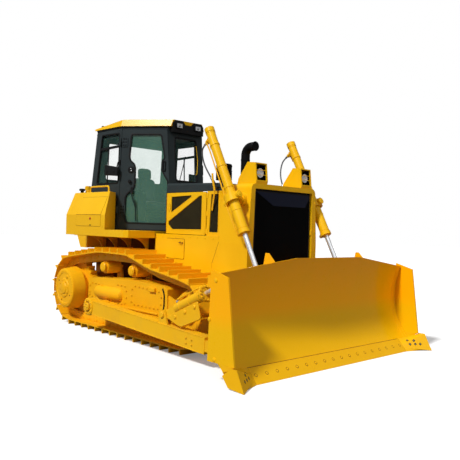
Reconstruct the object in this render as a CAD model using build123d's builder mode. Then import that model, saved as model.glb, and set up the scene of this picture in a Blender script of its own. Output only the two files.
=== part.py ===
import os
from math import acos, atan2, cos, degrees, hypot, pi, radians, sin, tan

from build123d import *

os.makedirs("parts", exist_ok=True)

# Lengths are in millimetres.  Row frame: X forward, Y left, Z up from the ground, origin at mid length.
# Stations called "x" below are measured forward from the sprocket axle, heights from the ground.
nose_reach = 4644.0  # sprocket axle to the tips of the end bits
tail_reach = 640.0  # sprocket axle to the end of the drawbar
axle_x = (tail_reach - nose_reach) / 2

# Clearances
seat_gap = 0.3  # between curved faces that touch
pin_play = 0.05  # radial play of a pin in its bore
door_gap = 6.0  # around a door

# Crawler
gauge = 1880.0
pitch = 203.5
shoe_count = 41
shoe_width = 510.0
shoe_plate = 16.0
grouser = 63.0  # height of a grouser bar above its plate
link_outer = 46.0  # link pin to the shoe plate
link_inner = 68.0  # link pin to the rolling face of the rail
rail_width = 40.0
rail_offset = 85.0  # rail centre from the chain's mid plane
bushing_radius = 31.0  # round the link pins
tip_reach = link_outer + shoe_plate + grouser
teeth = 27
sprocket_radius = pitch * teeth / 2 / (2 * pi)
sprocket_axis = (0.0, tip_reach + sprocket_radius)
final_radius = 330.0  # final drive case
final_inner = gauge / 2 + 130
final_face = gauge / 2 + 310  # outer face of its cover disc
stub_short = 130.0  # from the chain's middle in to the end of the axle housing
idler_radius = 365.0  # of the link pins round the front idler
idler_axis = (2905.0, tip_reach + idler_radius)
roller_radius = 95.0
roller_first = 505.0
roller_spacing = 352.0
roller_stations = [roller_first + roller_spacing * i for i in range(6)]
carrier_radius = 93.0
carrier_gap = 12.0  # the chain is bent over the carrier, so its links ride a little high
carrier_axes = [(866.0, 940.0), (1626.0, 937.0)]
sag_point = (2200.0, 958.0)  # low point of the chain between carrier and idler
frame_half = 160.0  # half width of a track frame
frame_top = 816.0
frame_floor = 400.0
frame_front = 2500.0
carrier_foot = 740.0  # bottom of the carrier brackets' recess in the track frame

# Hull
hull_half = 480.0
hull_floor = 430.0
hull_top = 1010.0
guard_plate = 14.0
deck_top = 1491.0
deck_depth = 97.0
deck_half = 1150.0
deck_rear = -204.0
deck_front = 1545.0
rib_stations = (60.0, 460.0, 860.0, 1330.0)
rib_low = 1206.0  # bottom of the gussets under the platform
bay_half = 640.0  # half width over the lower engine side panels
hood_half = 606.0
sheet = 8.0
hood_rear = 1738.0
hood_top = (2176.0, 2146.0)  # rear and front heights
door_line = 2041.0  # top of the engine doors
sill_line = 1447.0  # top of the lower side panels
hinge_station = 2625.0  # engine door hinge
hinge_line = hood_half + 5  # distance of its pin from the middle
hinge_pin = 4.0
knuckle_radius = 8.0
knuckle_length = 70.0
hinge_rises = (50.0, 285.0, 520.0)  # middles of the fixed knuckles above the door's lower edge
hinge_pitch = hinge_rises[1] - hinge_rises[0]
nose_face = 3466.0  # front face of the radiator guard
nose_rear = 2930.0
guard_low = 760.0
core_floor = 900.0
nose_top = 2126.0

# Cab: a tapered six-sided shell
cab_floor = deck_top
cab_top = 3068.0
cab_taper = 2.2
cab_half = 800.0
cab_corner = 735.0  # station of the door posts
cab_slant = 34.2  # plan angle of the doors
cab_wall = 55.0
cab_drawn = 1577.0  # height of the shell that the window outlines are drawn for
cab_rear_rake = ((-190.0, cab_floor), (-17.0, cab_top))
cab_waist = cab_floor + 674 * (cab_top - cab_floor) / cab_drawn
cab_front_rake = ((1426.0, cab_floor), (1400.0, cab_waist), (1320.0, cab_top))
glass_thick = 6.0

# Push frame and blade
trunnion = (1050.0, 400.0)
arm_width = 130.0
arm_gap = 85.0  # push arm to the shoes
arm_y = gauge / 2 + shoe_width / 2 + arm_gap + arm_width / 2
arm_rise = 190.0  # height of the arm's box section
ball_radius = 85.0
ball_half = 67.0
trunnion_pin = 35.0
arm_front = (3880.0, 249.0)
blade_half = 1700.0
mold_radius = 885.0
mold_centre = (4955.0, 729.0)
mold_skin = 16.0
mold_low = 130.0  # lower end of the curved skin
mold_top = (1255.0, 1106.0)  # top edge height at the middle and at the end plates
mold_level = 593.0  # half length of the level top edge
edge_thick = 28.0
edge_height = 200.0
edge_half = 1392.0
bit_tip = ((nose_reach, 0.0), (4528.0, 211.5), (4440.0, 211.5))

# Cylinders
lift_y = 762.0
lift_axis = (3315.0, 1925.0)
lift_lug = (3915.0, 826.0)
boss_face = bay_half + 12  # outer face of the guard's boss that carries the yoke
boss_depth = 46.0
yoke_shaft = 40.0
lift_bore = 65.0  # outside radius of the barrel
lift_head = 58.0
lift_tail = 1010.0  # trunnion to the barrel's top end
lift_gland = 471.0  # trunnion to the gland face
lift_rod_radius = 30.0
lift_piston = 47.0
port_drop = 880.0  # trunnion back to the hose port
port_reach = 120.0  # barrel axis to the port's face
eye_radius = 62.0
eye_half = 21.0
lug_gap = 68.0  # half the space between a lug's plates
tilt_rear = (2824.0, 504.0)
tilt_front = (3930.0, 995.0)
tilt_bore = 52.0
tilt_rod_radius = 27.0
tilt_gland = 820.0
tilt_eye = 60.0
tilt_ball = 42.0  # ball on the pin inside the barrel's eye

drawbar_pin = 27.0  # radius of the pin bore

# Hoses
hose_radius = 10.0
hose_lead = 95.0  # first run, straight out of the port
hose_stops = [(2674.0, 742.0, 2500.0), (2686.0, 716.0, 2390.0), (2734.0, 686.0, 2280.0)]
hose_end = (2806.0, hood_half + 54, 2170.0)
elbow_radius = 19.0
elbow_length = 92.0

# Exhaust and intake pipes on the hood: station and Y
stack = (2860.0, -150.0)
stack_radius = 59.0
collar_radius = 84.0
cleaner = (2433.0, -150.0)
cleaner_radius = 108.0


def side(y=0.0):
    """Upright plane along the machine: sketch x is the station, sketch y the height."""
    return Plane(origin=(axle_x, y, 0), x_dir=(1, 0, 0), z_dir=(0, -1, 0))


def across(x):
    """Upright plane across the machine at a station: sketch x runs left, sketch y up."""
    return Plane(origin=(axle_x + x, 0, 0), x_dir=(0, 1, 0), z_dir=(1, 0, 0))


def level(z):
    """Level plane: sketch x is the station, sketch y runs left."""
    return Plane(origin=(axle_x, 0, z), x_dir=(1, 0, 0), z_dir=(0, 0, 1))


def prism(plane, points, amount, both=False, radius=0.0, mode=Mode.ADD, taper=0.0):
    """Extrude a closed outline, with every corner rounded when a radius is given."""
    with BuildSketch(plane) as outline:
        with BuildLine():
            Polyline(*points, close=True)
        make_face()
        if radius:
            fillet(outline.vertices(), radius)
    extrude(outline.sketch, amount=amount, both=both, mode=mode, taper=taper)


def drum(plane, centre, radius, amount, both=True, bore=0.0, mode=Mode.ADD):
    """Extrude a disc or a ring about a point of the plane."""
    with BuildSketch(plane) as ring:
        with Locations(centre):
            Circle(radius)
            if bore:
                Circle(bore, mode=Mode.SUBTRACT)
    extrude(ring.sketch, amount=amount, both=both, mode=mode)


def box(x, y, z, mode=Mode.ADD):
    """Block between two stations, two Y values and two heights."""
    with BuildSketch(level(z[0])) as foot:
        with BuildLine():
            Polyline((x[0], y[0]), (x[1], y[0]), (x[1], y[1]), (x[0], y[1]), close=True)
        make_face()
    extrude(foot.sketch, amount=z[1] - z[0], mode=mode)


def tube(line, start, stop, radius, mode=Mode.ADD):
    """Round length along a cylinder's line, between two distances from its origin."""
    with BuildSketch(line.offset(start)) as ring:
        Circle(radius)
    extrude(ring.sketch, amount=stop - start, mode=mode)


def hood_height(x):
    """Height of the hood's sloping top at a station."""
    rear, front = hood_top
    return rear + (front - rear) * (x - hood_rear) / (nose_rear - hood_rear)


def upright(place, z):
    """Level plane centred on a pipe."""
    return Plane(origin=(axle_x + place[0], place[1], z), x_dir=(1, 0, 0), z_dir=(0, 0, 1))


def post(place, z, radius, mode=Mode.ADD):
    """Upright round length between two heights."""
    with BuildSketch(upright(place, z[0])) as ring:
        Circle(radius)
    extrude(ring.sketch, amount=z[1] - z[0], mode=mode)


def save(piece, name):
    piece.label = name
    export_step(piece, f"parts/{name}.step")


def both_sides(make, name):
    """Write the right and the left copy of a piece that is drawn by its side."""
    for word, sign in (("right", -1), ("left", 1)):
        save(make(sign), f"{name}_{word}")


def touch_point(point, centre, radius, turn):
    """Where a line from a point touches a circle, on the side given by turn."""
    dx, dz = point[0] - centre[0], point[1] - centre[1]
    angle = atan2(dz, dx) + turn * acos(radius / hypot(dx, dz))
    return centre[0] + radius * cos(angle), centre[1] + radius * sin(angle), degrees(angle)


# ---------------------------------------------------------------- crawler


def chain_path(stretch):
    """Closed line of the link pins, for an idler moved forward by stretch."""
    idler = (idler_axis[0] + stretch, idler_axis[1])
    over = carrier_radius + link_inner + carrier_gap
    rear_top = (carrier_axes[0][0], carrier_axes[0][1] + over)
    front_top = (carrier_axes[1][0], carrier_axes[1][1] + over)
    sag = (sag_point[0] + stretch / 2, sag_point[1])
    idler_top = touch_point(sag, idler, idler_radius, -1)
    drive_top = touch_point(rear_top, sprocket_axis, sprocket_radius, 1)
    foot = (sprocket_axis[0], tip_reach)
    with BuildLine(Plane.XY) as loop:
        Line(foot, (idler[0], tip_reach))
        CenterArc(idler, idler_radius, -90, idler_top[2] + 90)
        Line(idler_top[:2], sag)
        Line(sag, front_top)
        Line(front_top, rear_top)
        Line(rear_top, drive_top[:2])
        CenterArc(sprocket_axis, sprocket_radius, drive_top[2], 270 - drive_top[2])
    return loop.wire()


take_up = (shoe_count * pitch - chain_path(0).length) / 2
chain = chain_path(take_up)
idler_centre = (idler_axis[0] + take_up, idler_axis[1])
pins = [chain.position_at((i + 0.1) / shoe_count) for i in range(shoe_count)]


def chord_places():
    """Middle and direction of each link, from pin to pin."""
    for here, after in zip(pins, pins[1:] + pins[:1]):
        run = after - here
        yield Location(((here.X + after.X) / 2, (here.Y + after.Y) / 2, 0), degrees(atan2(run.Y, run.X)))


def track(sign):
    """Endless chain: shoes with one grouser each, two link rails and the pins that join them."""
    y = sign * gauge / 2
    half = pitch / 2
    plate_top = -link_outer - shoe_plate
    bar = -half + 26
    shoe = [(-half - 8, -link_outer), (-half - 8, plate_top), (bar - 17, plate_top), (bar - 8, -tip_reach),
            (bar + 8, -tip_reach), (bar + 17, plate_top), (half + 4, plate_top), (half + 4, -link_outer)]
    link = [(-half - 34, -link_outer), (half + 34, -link_outer), (half + 34, link_inner),
            (-half - 34, link_inner)]
    with BuildPart() as loop:
        with BuildSketch(side(y)) as shoes:
            with Locations(*chord_places()):
                Polygon(*shoe, align=None)
        extrude(amount=shoe_width / 2, both=True)
        for rail in (-rail_offset, rail_offset):
            with BuildSketch(side(y + rail)) as links:
                with Locations(*chord_places()):
                    Polygon(*link, align=None)
            extrude(amount=rail_width / 2, both=True)
        with BuildSketch(side(y)) as bushings:
            with Locations(*[(pin.X, pin.Y) for pin in pins]):
                Circle(bushing_radius)
        extrude(amount=rail_offset, both=True)
    return loop.part


both_sides(track, "track")


def sprocket(sign):
    """Toothed wheel between the rails, with the final drive's case and cover disc outboard."""
    y = sign * gauge / 2
    root = sprocket_radius - bushing_radius - 6
    first = min(pins, key=lambda pin: hypot(pin.X - sprocket_axis[0], pin.Y - sprocket_axis[1]))
    start = degrees(atan2(first.Y - sprocket_axis[1], first.X - sprocket_axis[0]))
    step = 360 / teeth
    with BuildPart() as wheel:
        with BuildSketch(side(y)) as profile:
            with Locations(sprocket_axis):
                Circle(root)
                with PolarLocations(root - 8, teeth, start_angle=start + step / 2):
                    Polygon((0, -26), (22, -22), (50, -7), (50, 7), (22, 22), (0, 26), align=None)
        extrude(amount=rail_offset - rail_width / 2 - 12, both=True)
        case = side(sign * final_inner)
        with BuildSketch(case) as hub:
            with Locations(sprocket_axis):
                Circle(final_radius)
        extrude(hub.sketch, amount=-sign * (final_face - final_inner), taper=8)
        drum(side(y), sprocket_axis, final_radius - 40, final_inner - gauge / 2)
        stub = (gauge / 2 - stub_short - hull_half) / 2
        drum(side(sign * (hull_half + stub)), sprocket_axis, 230, stub)
    return wheel.part


both_sides(sprocket, "sprocket")


def idler(sign):
    """Front guide wheel with its centre flange, and the sliding yoke that carries it."""
    y = sign * gauge / 2
    apothem = idler_radius * cos(pitch / idler_radius / 2)
    rim = apothem - link_inner - seat_gap
    with BuildPart() as wheel:
        drum(side(y), idler_centre, rim, rail_offset + rail_width / 2 + 10)
        drum(side(y), idler_centre, rim + 34, rail_offset - rail_width / 2 - 12)
        for face in (-1, 1):
            dish = side(y + face * (rail_offset + rail_width / 2 + 10))
            drum(dish, idler_centre, rim - 50, 35, bore=95, mode=Mode.SUBTRACT)
        drum(side(y), idler_centre, 62, rail_offset + 72)
        for face in (-1, 1):
            plate = side(y + face * (rail_offset + 45))
            x, z = idler_centre
            yoke = [(frame_front, z + 10), (x - 60, z - 80), (x + 60, z - 50), (x + 60, z + 50),
                    (x - 40, z + 80), (frame_front, z + 190)]
            prism(plate, yoke, 12, both=True)
    return wheel.part


both_sides(idler, "idler")


def roller_set(axes, radius, outer):
    """Rollers on one track: two treads with flanges about a shaft."""
    for centre in axes:
        for sign in (-1, 1):
            y = sign * gauge / 2
            drum(side(y), centre, radius, rail_offset + rail_width / 2 + 6)
            drum(side(y), centre, radius + 16, rail_offset - rail_width / 2 - 8)
            drum(side(y), centre, 34, outer)


roller_height = tip_reach + link_inner + roller_radius + seat_gap
with BuildPart() as track_rollers:
    roller_set([(x, roller_height) for x in roller_stations], roller_radius, frame_half - 30)
save(track_rollers.part, "track_rollers")

with BuildPart() as carrier_rollers:
    for sign in (-1, 1):
        for centre in carrier_axes:
            drum(side(sign * (gauge / 2)), centre, carrier_radius, rail_offset + rail_width / 2 + 6)
            drum(side(sign * (gauge / 2)), centre, carrier_radius - 20, rail_offset + rail_width / 2 + 22)
            x, z = centre
            foot = [(x - 70, carrier_foot), (x + 70, carrier_foot), (x + 30, z + 28), (x - 30, z + 28)]
            prism(side(sign * (gauge / 2 - rail_offset - 62)), foot, 20, both=True)
            drum(side(sign * (gauge / 2 - rail_offset - 40)), centre, 34, 42)
save(carrier_rollers.part, "carrier_rollers")


def track_frame(sign):
    """Box beam between the chain's runs, with the roller guards and the push arm's trunnion pin."""
    y = sign * gauge / 2
    beam = [(470, frame_floor), (2330, frame_floor), (frame_front, 520), (frame_front, 760), (2440, 797),
            (1625, frame_top), (640, 772), (470, 740)]
    guard = [(330, 268), (2420, 268), (2470, 330), (2440, frame_floor + 20), (560, frame_floor + 20)]
    with BuildPart() as beam_part:
        prism(side(y), beam, frame_half, both=True)
        for face in (-1, 1):
            prism(side(y + face * (frame_half - 12)), guard, 8, both=True)
        for centre in [(x, roller_height) for x in roller_stations]:
            drum(side(y), centre, 34 + seat_gap, frame_half + 30, mode=Mode.SUBTRACT)
        for x, z in carrier_axes:
            recess = sorted((sign * (gauge / 2 - rail_offset - 84), sign * (gauge / 2 - rail_offset - 40)))
            box((x - 72, x + 72), recess, (carrier_foot, frame_top + 10), mode=Mode.SUBTRACT)
        drum(side(sign * (abs(y) + frame_half + 80)), trunnion, 78, 81)
        drum(side(sign * (arm_y - ball_half - 28)), trunnion, 46, 27.7)
        drum(side(sign * (arm_y - 40)), trunnion, trunnion_pin, 112)
        drum(side(sign * (arm_y + 80)), trunnion, 58, 8)
        inboard = sorted((sign * (gauge / 2 - frame_half), sign * hull_half))
        box((480, 640), inboard, (frame_floor + 30, 560))
    return beam_part.part


both_sides(track_frame, "track_frame")

# ---------------------------------------------------------------- hull


with BuildPart() as main_frame:
    keel = [(-430, 620), (-300, hull_floor), (2960, hull_floor), (3330, 560), (3330, guard_low),
            (nose_rear - 40, guard_low), (nose_rear - 40, hull_top), (-200, hull_top), (-430, 960)]
    prism(side(), keel, hull_half, both=True)
    box((deck_rear, 1560), (-430, 430), (900, deck_top - deck_depth))
    prism(across(hood_rear - 30), [(-hood_half + 14, 950), (hood_half - 14, 950), (hood_half - 14, 2040),
                                   (-hood_half + 14, 2040)], 20)
    drum(side(), (2260, 640), 70, hull_half - 40, mode=Mode.SUBTRACT)
    box((2160, 2360), (-hull_half, hull_half), (hull_floor, 690), mode=Mode.SUBTRACT)
save(main_frame.part, "main_frame")

with BuildPart() as belly_guard:
    pan = [(-330, hull_floor), (-330, hull_floor - guard_plate), (2150, hull_floor - guard_plate),
           (2150, hull_floor)]
    prism(side(), pan, hull_half - 40, both=True)
    nose_pan = [(2370, hull_floor), (2370, hull_floor - guard_plate), (2975, hull_floor - guard_plate),
                (3345, 548), (3340, 562), (2960, hull_floor)]
    prism(side(), nose_pan, hull_half - 40, both=True)
save(belly_guard.part, "belly_guard")

with BuildPart() as engine_block:
    box((1900, 2780), (-300, 300), (hull_top, 1760))
    box((2000, 2700), (-240, 240), (1760, 1990))
    drum(across(2780), (0, 1500), 90, 80, both=False)
    box((3180, 3300), (-500, 500), (core_floor, 2000))
save(engine_block.part, "engine_block")

with BuildPart() as hood:
    rear, front = hood_top
    cowl = [(hood_rear, door_line + 4), (hood_rear, rear), (nose_rear, front), (nose_rear, door_line + 4)]
    prism(side(), cowl, hood_half, both=True)
    fillet(hood.edges().filter_by(Axis.X, tolerance=3).group_by(Axis.Z)[-1], 34)
    inner = [(hood_rear - 1, door_line), (hood_rear - 1, rear - sheet), (nose_rear + 1, front - sheet),
             (nose_rear + 1, door_line)]
    prism(side(), inner, hood_half - sheet - 12, both=True, mode=Mode.SUBTRACT)
    post(stack, (2080, 2200), stack_radius + 3, mode=Mode.SUBTRACT)
    post(cleaner, (2080, 2200), stack_radius + 3, mode=Mode.SUBTRACT)
    for sign in (-1, 1):
        end = Vector(axle_x + hose_end[0], sign * hose_end[1], hose_end[2])
        last = hose_stops[-1]
        before = Vector(axle_x + last[0], sign * last[1], last[2])
        with BuildSketch(Plane(origin=end, z_dir=end - before)) as socket:
            Circle(elbow_radius)
        extrude(socket.sketch, amount=elbow_length)
        drum(side(sign * (hood_half + 25)), (2856, 2090), 24, 25)
save(hood.part, "hood")

with BuildPart() as radiator_guard:
    front_outline = [(-bay_half, guard_low), (bay_half, guard_low), (bay_half, 1380), (590, nose_top),
                     (-590, nose_top), (-bay_half, 1380)]
    with BuildSketch(across(nose_face)) as outline:
        with BuildLine():
            Polyline(*front_outline, close=True)
        make_face()
        fillet(outline.vertices().group_by(Axis.Z)[-1], 70)
    extrude(outline.sketch, amount=-(nose_face - nose_rear))
    core = [(-545, core_floor), (545, core_floor), (545, 1400), (530, nose_top - 62), (-530, nose_top - 62),
            (-545, 1400)]
    prism(across(nose_rear - 1), core, nose_face - nose_rear + 2, mode=Mode.SUBTRACT)
    skirt = [(2810, 1105), (nose_rear + 1, 1385), (nose_rear + 1, core_floor), (2810, core_floor)]
    for face in (-1, 1):
        prism(side(face * (bay_half - 10)), skirt, 10, both=True)
        boss = side(face * (boss_face - 40))
        drum(boss, lift_axis, 84, 40)
        middle = side(face * (boss_face - boss_depth / 2))
        drum(middle, lift_axis, yoke_shaft + pin_play, boss_depth / 2 + 0.01, mode=Mode.SUBTRACT)
save(radiator_guard.part, "radiator_guard")

with BuildPart() as front_grille:
    pane = [(-520, 925), (520, 925), (520, 1400), (508, nose_top - 84), (-508, nose_top - 84), (-520, 1400)]
    prism(across(nose_face - 46), pane, 14)
    rim = [(-545 + seat_gap, 901), (545 - seat_gap, 901), (545 - seat_gap, 1400), (529, nose_top - 63),
           (-529, nose_top - 63), (-545 + seat_gap, 1400)]
    prism(across(nose_face - 60), rim, 14)
save(front_grille.part, "front_grille")

lamp_y = 416.0
with BuildPart() as hood_lamps:
    horn = [(3115, nose_top), (3135, 2200), (3258, 2352), (3295, 2398), (3435, 2386), (nose_face - 4, 2160),
            (nose_face - 14, nose_top)]
    for face in (-1, 1):
        prism(side(face * lamp_y), horn, 100, both=True)
        pocket = [(3270, 2170), (3320, 2372), (3500, 2372), (3500, 2170)]
        prism(side(face * lamp_y), pocket, 84, both=True, mode=Mode.SUBTRACT)
        drum(across(3270), (face * lamp_y, 2262), 62, 60, both=False)
save(hood_lamps.part, "hood_lamps")

with BuildPart() as exhaust_stack:
    with BuildLine(Plane(origin=(axle_x, stack[1], 0), x_dir=(1, 0, 0), z_dir=(0, -1, 0))) as bend:
        FilletPolyline((stack[0], 2000), (stack[0], 2648), (stack[0] + 190, 2655), radius=110)
    with BuildSketch(upright(stack, 2000)) as pipe:
        Circle(stack_radius)
    sweep(pipe.sketch, path=bend.wire())
    seat = hood_height(stack[0] - collar_radius) + seat_gap
    post(stack, (seat, seat + 40), collar_radius)
save(exhaust_stack.part, "exhaust_stack")

with BuildPart() as air_precleaner:
    seat = hood_height(cleaner[0] - 90) + seat_gap
    post(cleaner, (2000, 2240), stack_radius)
    post(cleaner, (seat, seat + 14), 90)
    post(cleaner, (2230, 2456), cleaner_radius)
    fillet(air_precleaner.edges().filter_by(GeomType.CIRCLE).group_by(Axis.Z)[-1], 18)
save(air_precleaner.part, "air_precleaner")


def mesh_panel(sign):
    """Fixed screened panel in front of the hinge strip."""
    y = sign * (hood_half - 10)
    low, high = sill_line + 14, door_line + 4
    frame = [(hinge_station + 14, low), (nose_rear, low), (nose_rear, high), (hinge_station + 14, high)]
    window = [(2690, low + 46), (2870, low + 46), (2870, high - 39), (2720, high - 39)]
    prism(side(y), frame, 10, both=True)
    prism(side(y + sign * 6), window, 10, both=True, mode=Mode.SUBTRACT, radius=12)
    leaf = sorted((sign * (hood_half - 1), sign * hinge_line))
    for rise in hinge_rises:
        middle = low + door_gap + rise
        knuckle = (middle - knuckle_length / 2, middle + knuckle_length / 2)
        post((hinge_station, sign * hinge_line), knuckle, knuckle_radius)
        box((hinge_station, hinge_station + 40), leaf, knuckle)
        post((hinge_station, sign * hinge_line), knuckle, hinge_pin + pin_play, mode=Mode.SUBTRACT)


def side_panel(sign):
    """Bolted lower side of the engine bay with its inspection cover."""
    skin = [(1531, 960), (1531, sill_line), (nose_rear, sill_line), (nose_rear, 1388), (2806, 1108),
            (2806, 960)]
    cover = [(1810, 1130), (1810, 1400), (2220, 1400), (2220, 1130)]
    with BuildPart() as panel:
        prism(side(sign * (bay_half - 6)), skin, 6, both=True)
        prism(side(sign * (bay_half + 4)), cover, 4.5, both=True, radius=20)
        for x in (1600, 2700):
            box((x, x + 40), sorted((sign * hull_half, sign * (bay_half - 12))), (960, 1080))
        shelf = sorted((sign * (hood_half - 12), sign * bay_half))
        box((1531, nose_rear), shelf, (sill_line, sill_line + 14))
        mesh_panel(sign)
    return panel.part


both_sides(side_panel, "side_panel")


def engine_door(sign):
    """Side door of the engine bay, hinged on its front edge, with two screened windows."""
    y = sign * (hood_half - 10)
    low, high = sill_line + 14 + door_gap, door_line - 4
    outline = [(hood_rear + door_gap, low), (hinge_station - 15, low), (hinge_station - 15, high),
               (hood_rear + door_gap, high)]
    upper = [(1850, 1985), (2350, 2000), (1850, 1760)]
    lower = [(1790, 1640), (2480, 1990), (2530, 1990), (2530, low + 70), (1880, low + 62), (1790, 1590)]
    leaf = sorted((sign * (hood_half - 1), sign * hinge_line))
    with BuildPart() as door:
        prism(side(y), outline, 10, both=True, radius=10)
        prism(side(y + sign * 6), upper, 10, both=True, mode=Mode.SUBTRACT, radius=14)
        prism(side(y + sign * 6), lower, 10, both=True, mode=Mode.SUBTRACT, radius=14)
        for rise in hinge_rises[:-1]:
            knuckle = (low + rise + knuckle_length / 2 + 2, low + rise + hinge_pitch - knuckle_length / 2 - 2)
            post((hinge_station, sign * hinge_line), knuckle, knuckle_radius)
            box((hinge_station - 24, hinge_station), leaf, knuckle)
        post((hinge_station, sign * hinge_line), (low + 20, high - 20), hinge_pin)
        box((hinge_station - 44, hinge_station - 15), leaf, (low + 20, high - 20))
    return door.part


both_sides(engine_door, "engine_door")

with BuildPart() as platform:
    plan = [(deck_rear, -deck_half), (deck_front - 60, -deck_half), (deck_front, -deck_half + 50),
            (deck_front, -bay_half - 20), (1490, -bay_half - 20), (1490, bay_half + 20),
            (deck_front, bay_half + 20), (deck_front, deck_half - 50), (deck_front - 60, deck_half),
            (deck_rear, deck_half)]
    prism(level(deck_top - deck_depth), plan, deck_depth)
    under = deck_top - deck_depth
    for x in rib_stations:
        for sign in (-1, 1):
            inner, outer = sign * (bay_half - 20), sign * (deck_half - 12)
            with BuildSketch(across(x)) as rib:
                with BuildLine():
                    Line((inner, rib_low), (inner, under + 5))
                    Line((inner, under + 5), (outer, under + 5))
                    Line((outer, under + 5), (outer, under - 6))
                    Line((outer, under - 6), (sign * 900, under - 14))
                    ThreePointArc((sign * 900, under - 14), (sign * 752, under - 62), (sign * 660, rib_low))
                    Line((sign * 660, rib_low), (inner, rib_low))
                make_face()
            extrude(rib.sketch, amount=6, both=True)
save(platform.part, "platform")

with BuildPart() as equalizer_bar:
    bar = [(2190, 560), (2330, 560), (2330, 650), (2190, 650)]
    prism(side(), bar, gauge / 2 - frame_half, both=True, radius=20)
    drum(side(), (2260, 640), 69.5, 120)
save(equalizer_bar.part, "equalizer_bar")

with BuildPart() as drawbar:
    block = [(-430, 480), (-430, 700), (-490, 700), (-540, 620), (-tail_reach, 620), (-tail_reach, 480)]
    prism(side(), block, 95, both=True)
    fillet(drawbar.edges().filter_by(Axis.Z).group_by(Axis.X)[0], 60)
    jaw = [(-tail_reach - 1, 528), (-520, 528), (-520, 572), (-tail_reach - 1, 572)]
    prism(side(), jaw, 96, both=True, mode=Mode.SUBTRACT)
    with BuildSketch(level(470)) as pin_hole:
        with Locations((-585, 0)):
            Circle(drawbar_pin)
    extrude(pin_hole.sketch, amount=150, mode=Mode.SUBTRACT)
save(drawbar.part, "drawbar")

# ---------------------------------------------------------------- cab and boxes


def cab_body(inset, end_inset):
    """Six-sided cab, narrower towards its top, with its sides and its ends drawn inset."""
    far = 1500.0
    reach = (far - cab_corner) * tan(radians(cab_slant))
    plan = [(-300, -cab_half), (cab_corner, -cab_half), (far, reach - cab_half), (far, cab_half - reach),
            (cab_corner, cab_half), (-300, cab_half)]
    with BuildPart() as body:
        with BuildSketch(level(cab_floor)) as foot:
            with BuildLine():
                Polyline(*plan, close=True)
            make_face()
            if inset:
                offset(amount=-inset, kind=Kind.INTERSECTION, mode=Mode.REPLACE)
        extrude(foot.sketch, amount=cab_top - cab_floor, taper=cab_taper)
        with BuildSketch(side()) as profile:
            with BuildLine():
                Polyline(*cab_rear_rake[::-1], *cab_front_rake, close=True)
            make_face()
            if end_inset:
                offset(amount=-end_inset, kind=Kind.INTERSECTION, mode=Mode.REPLACE)
        extrude(profile.sketch, amount=cab_half + 50, both=True, mode=Mode.INTERSECT)
    return body.part


def cab_level(z):
    """Height in the cab of a point drawn for a shell of the drawn height."""
    return cab_floor + (z - cab_floor) * (cab_top - cab_floor) / cab_drawn


def raised(outline):
    return [(run, cab_level(z)) for run, z in outline]


def door_plane():
    """Upright plane of the right door: sketch x runs from the door post, sketch y is the height."""
    slant = radians(cab_slant)
    return Plane(origin=(axle_x + cab_corner, -cab_half, 0), x_dir=(cos(slant), sin(slant), 0),
                 z_dir=(sin(slant), -cos(slant), 0))


def mirrored(piece):
    with BuildPart() as twin:
        mirror(piece, about=Plane.XZ)
    return twin.part


door_low = cab_floor + 18
door_high = cab_top - 46
door_edge = [(20, door_low), (829, door_low), (815, cab_level(2165)), (747, door_high), (26, door_high)]
door_thick = 38.0
door_window = raised([(150, 1604), (790, 1604), (790, 2235), (728, 2330), (684, 2400), (684, 2550),
                      (722, 2585), (655, 2945), (180, 2945), (160, 2600), (178, 2545), (240, 2500),
                      (258, 2440), (262, 2190), (240, 2115), (150, 2050), (118, 1990), (118, 1690)])
rear_windows = raised([(52, 2208), (690, 2208), (662, 2966), (140, 2976)])
front_window = raised([(-196, 2262), (196, 2262), (206, 2912), (-206, 2912)])
back_window = raised([(-560, 2300), (560, 2300), (540, 2900), (-540, 2900)])
shell_depth = 140.0

cab_outside = cab_body(0, 0)
cab_inside = cab_body(cab_wall, cab_wall)
door_inside = cab_body(door_thick, 0)


def cut_side_windows(grow=0.0, mode=Mode.SUBTRACT):
    """Sweep the outlines of the fixed windows through the cab's walls."""
    for sign in (-1, 1):
        with BuildSketch(side(sign * 690)) as pane:
            with BuildLine():
                Polyline(*rear_windows, close=True)
            make_face()
            fillet(pane.vertices(), 28)
            if grow:
                offset(amount=grow, mode=Mode.REPLACE)
        extrude(pane.sketch, amount=-sign * 200, mode=mode)
    for station, outline in ((1200, front_window), (-250, back_window)):
        with BuildSketch(across(station)) as pane:
            with BuildLine():
                Polyline(*outline, close=True)
            make_face()
            fillet(pane.vertices(), 40)
            if grow:
                offset(amount=grow, mode=Mode.REPLACE)
        extrude(pane.sketch, amount=300, mode=mode)


cab_lean = (cab_top - cab_floor) * tan(radians(cab_taper))
post_lean = Vector(-cab_lean * tan(radians(cab_slant / 2)), cab_lean, cab_top - cab_floor)
hinge_stand = 18.0  # hinge pins stand this far out from the door post's corner
hinge_middles = (cab_level(1800), cab_level(2827))
cab_knuckle = 13.0
cab_hinge_pin = 6.0
hinge_half = 55.0


def hinge_axis(z):
    """Plane square to the right door's hinge line, centred on it at a height."""
    corner = Vector(axle_x + cab_corner, -cab_half, cab_floor)
    outward = Vector(tan(radians(cab_slant / 2)), -1, 0).normalized() * hinge_stand
    return Plane(origin=corner + outward + post_lean * ((z - cab_floor) / post_lean.Z), z_dir=post_lean)


def wall_face(angle):
    """Leaning outer face of the right wall that leaves the door post at a plan angle."""
    along = Vector(cos(radians(angle)), sin(radians(angle)), 0)
    lean = radians(cab_taper)
    out = Vector(along.Y * cos(lean), -along.X * cos(lean), sin(lean))
    return Plane(origin=(axle_x + cab_corner, -cab_half, cab_floor), x_dir=along, z_dir=out)


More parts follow.
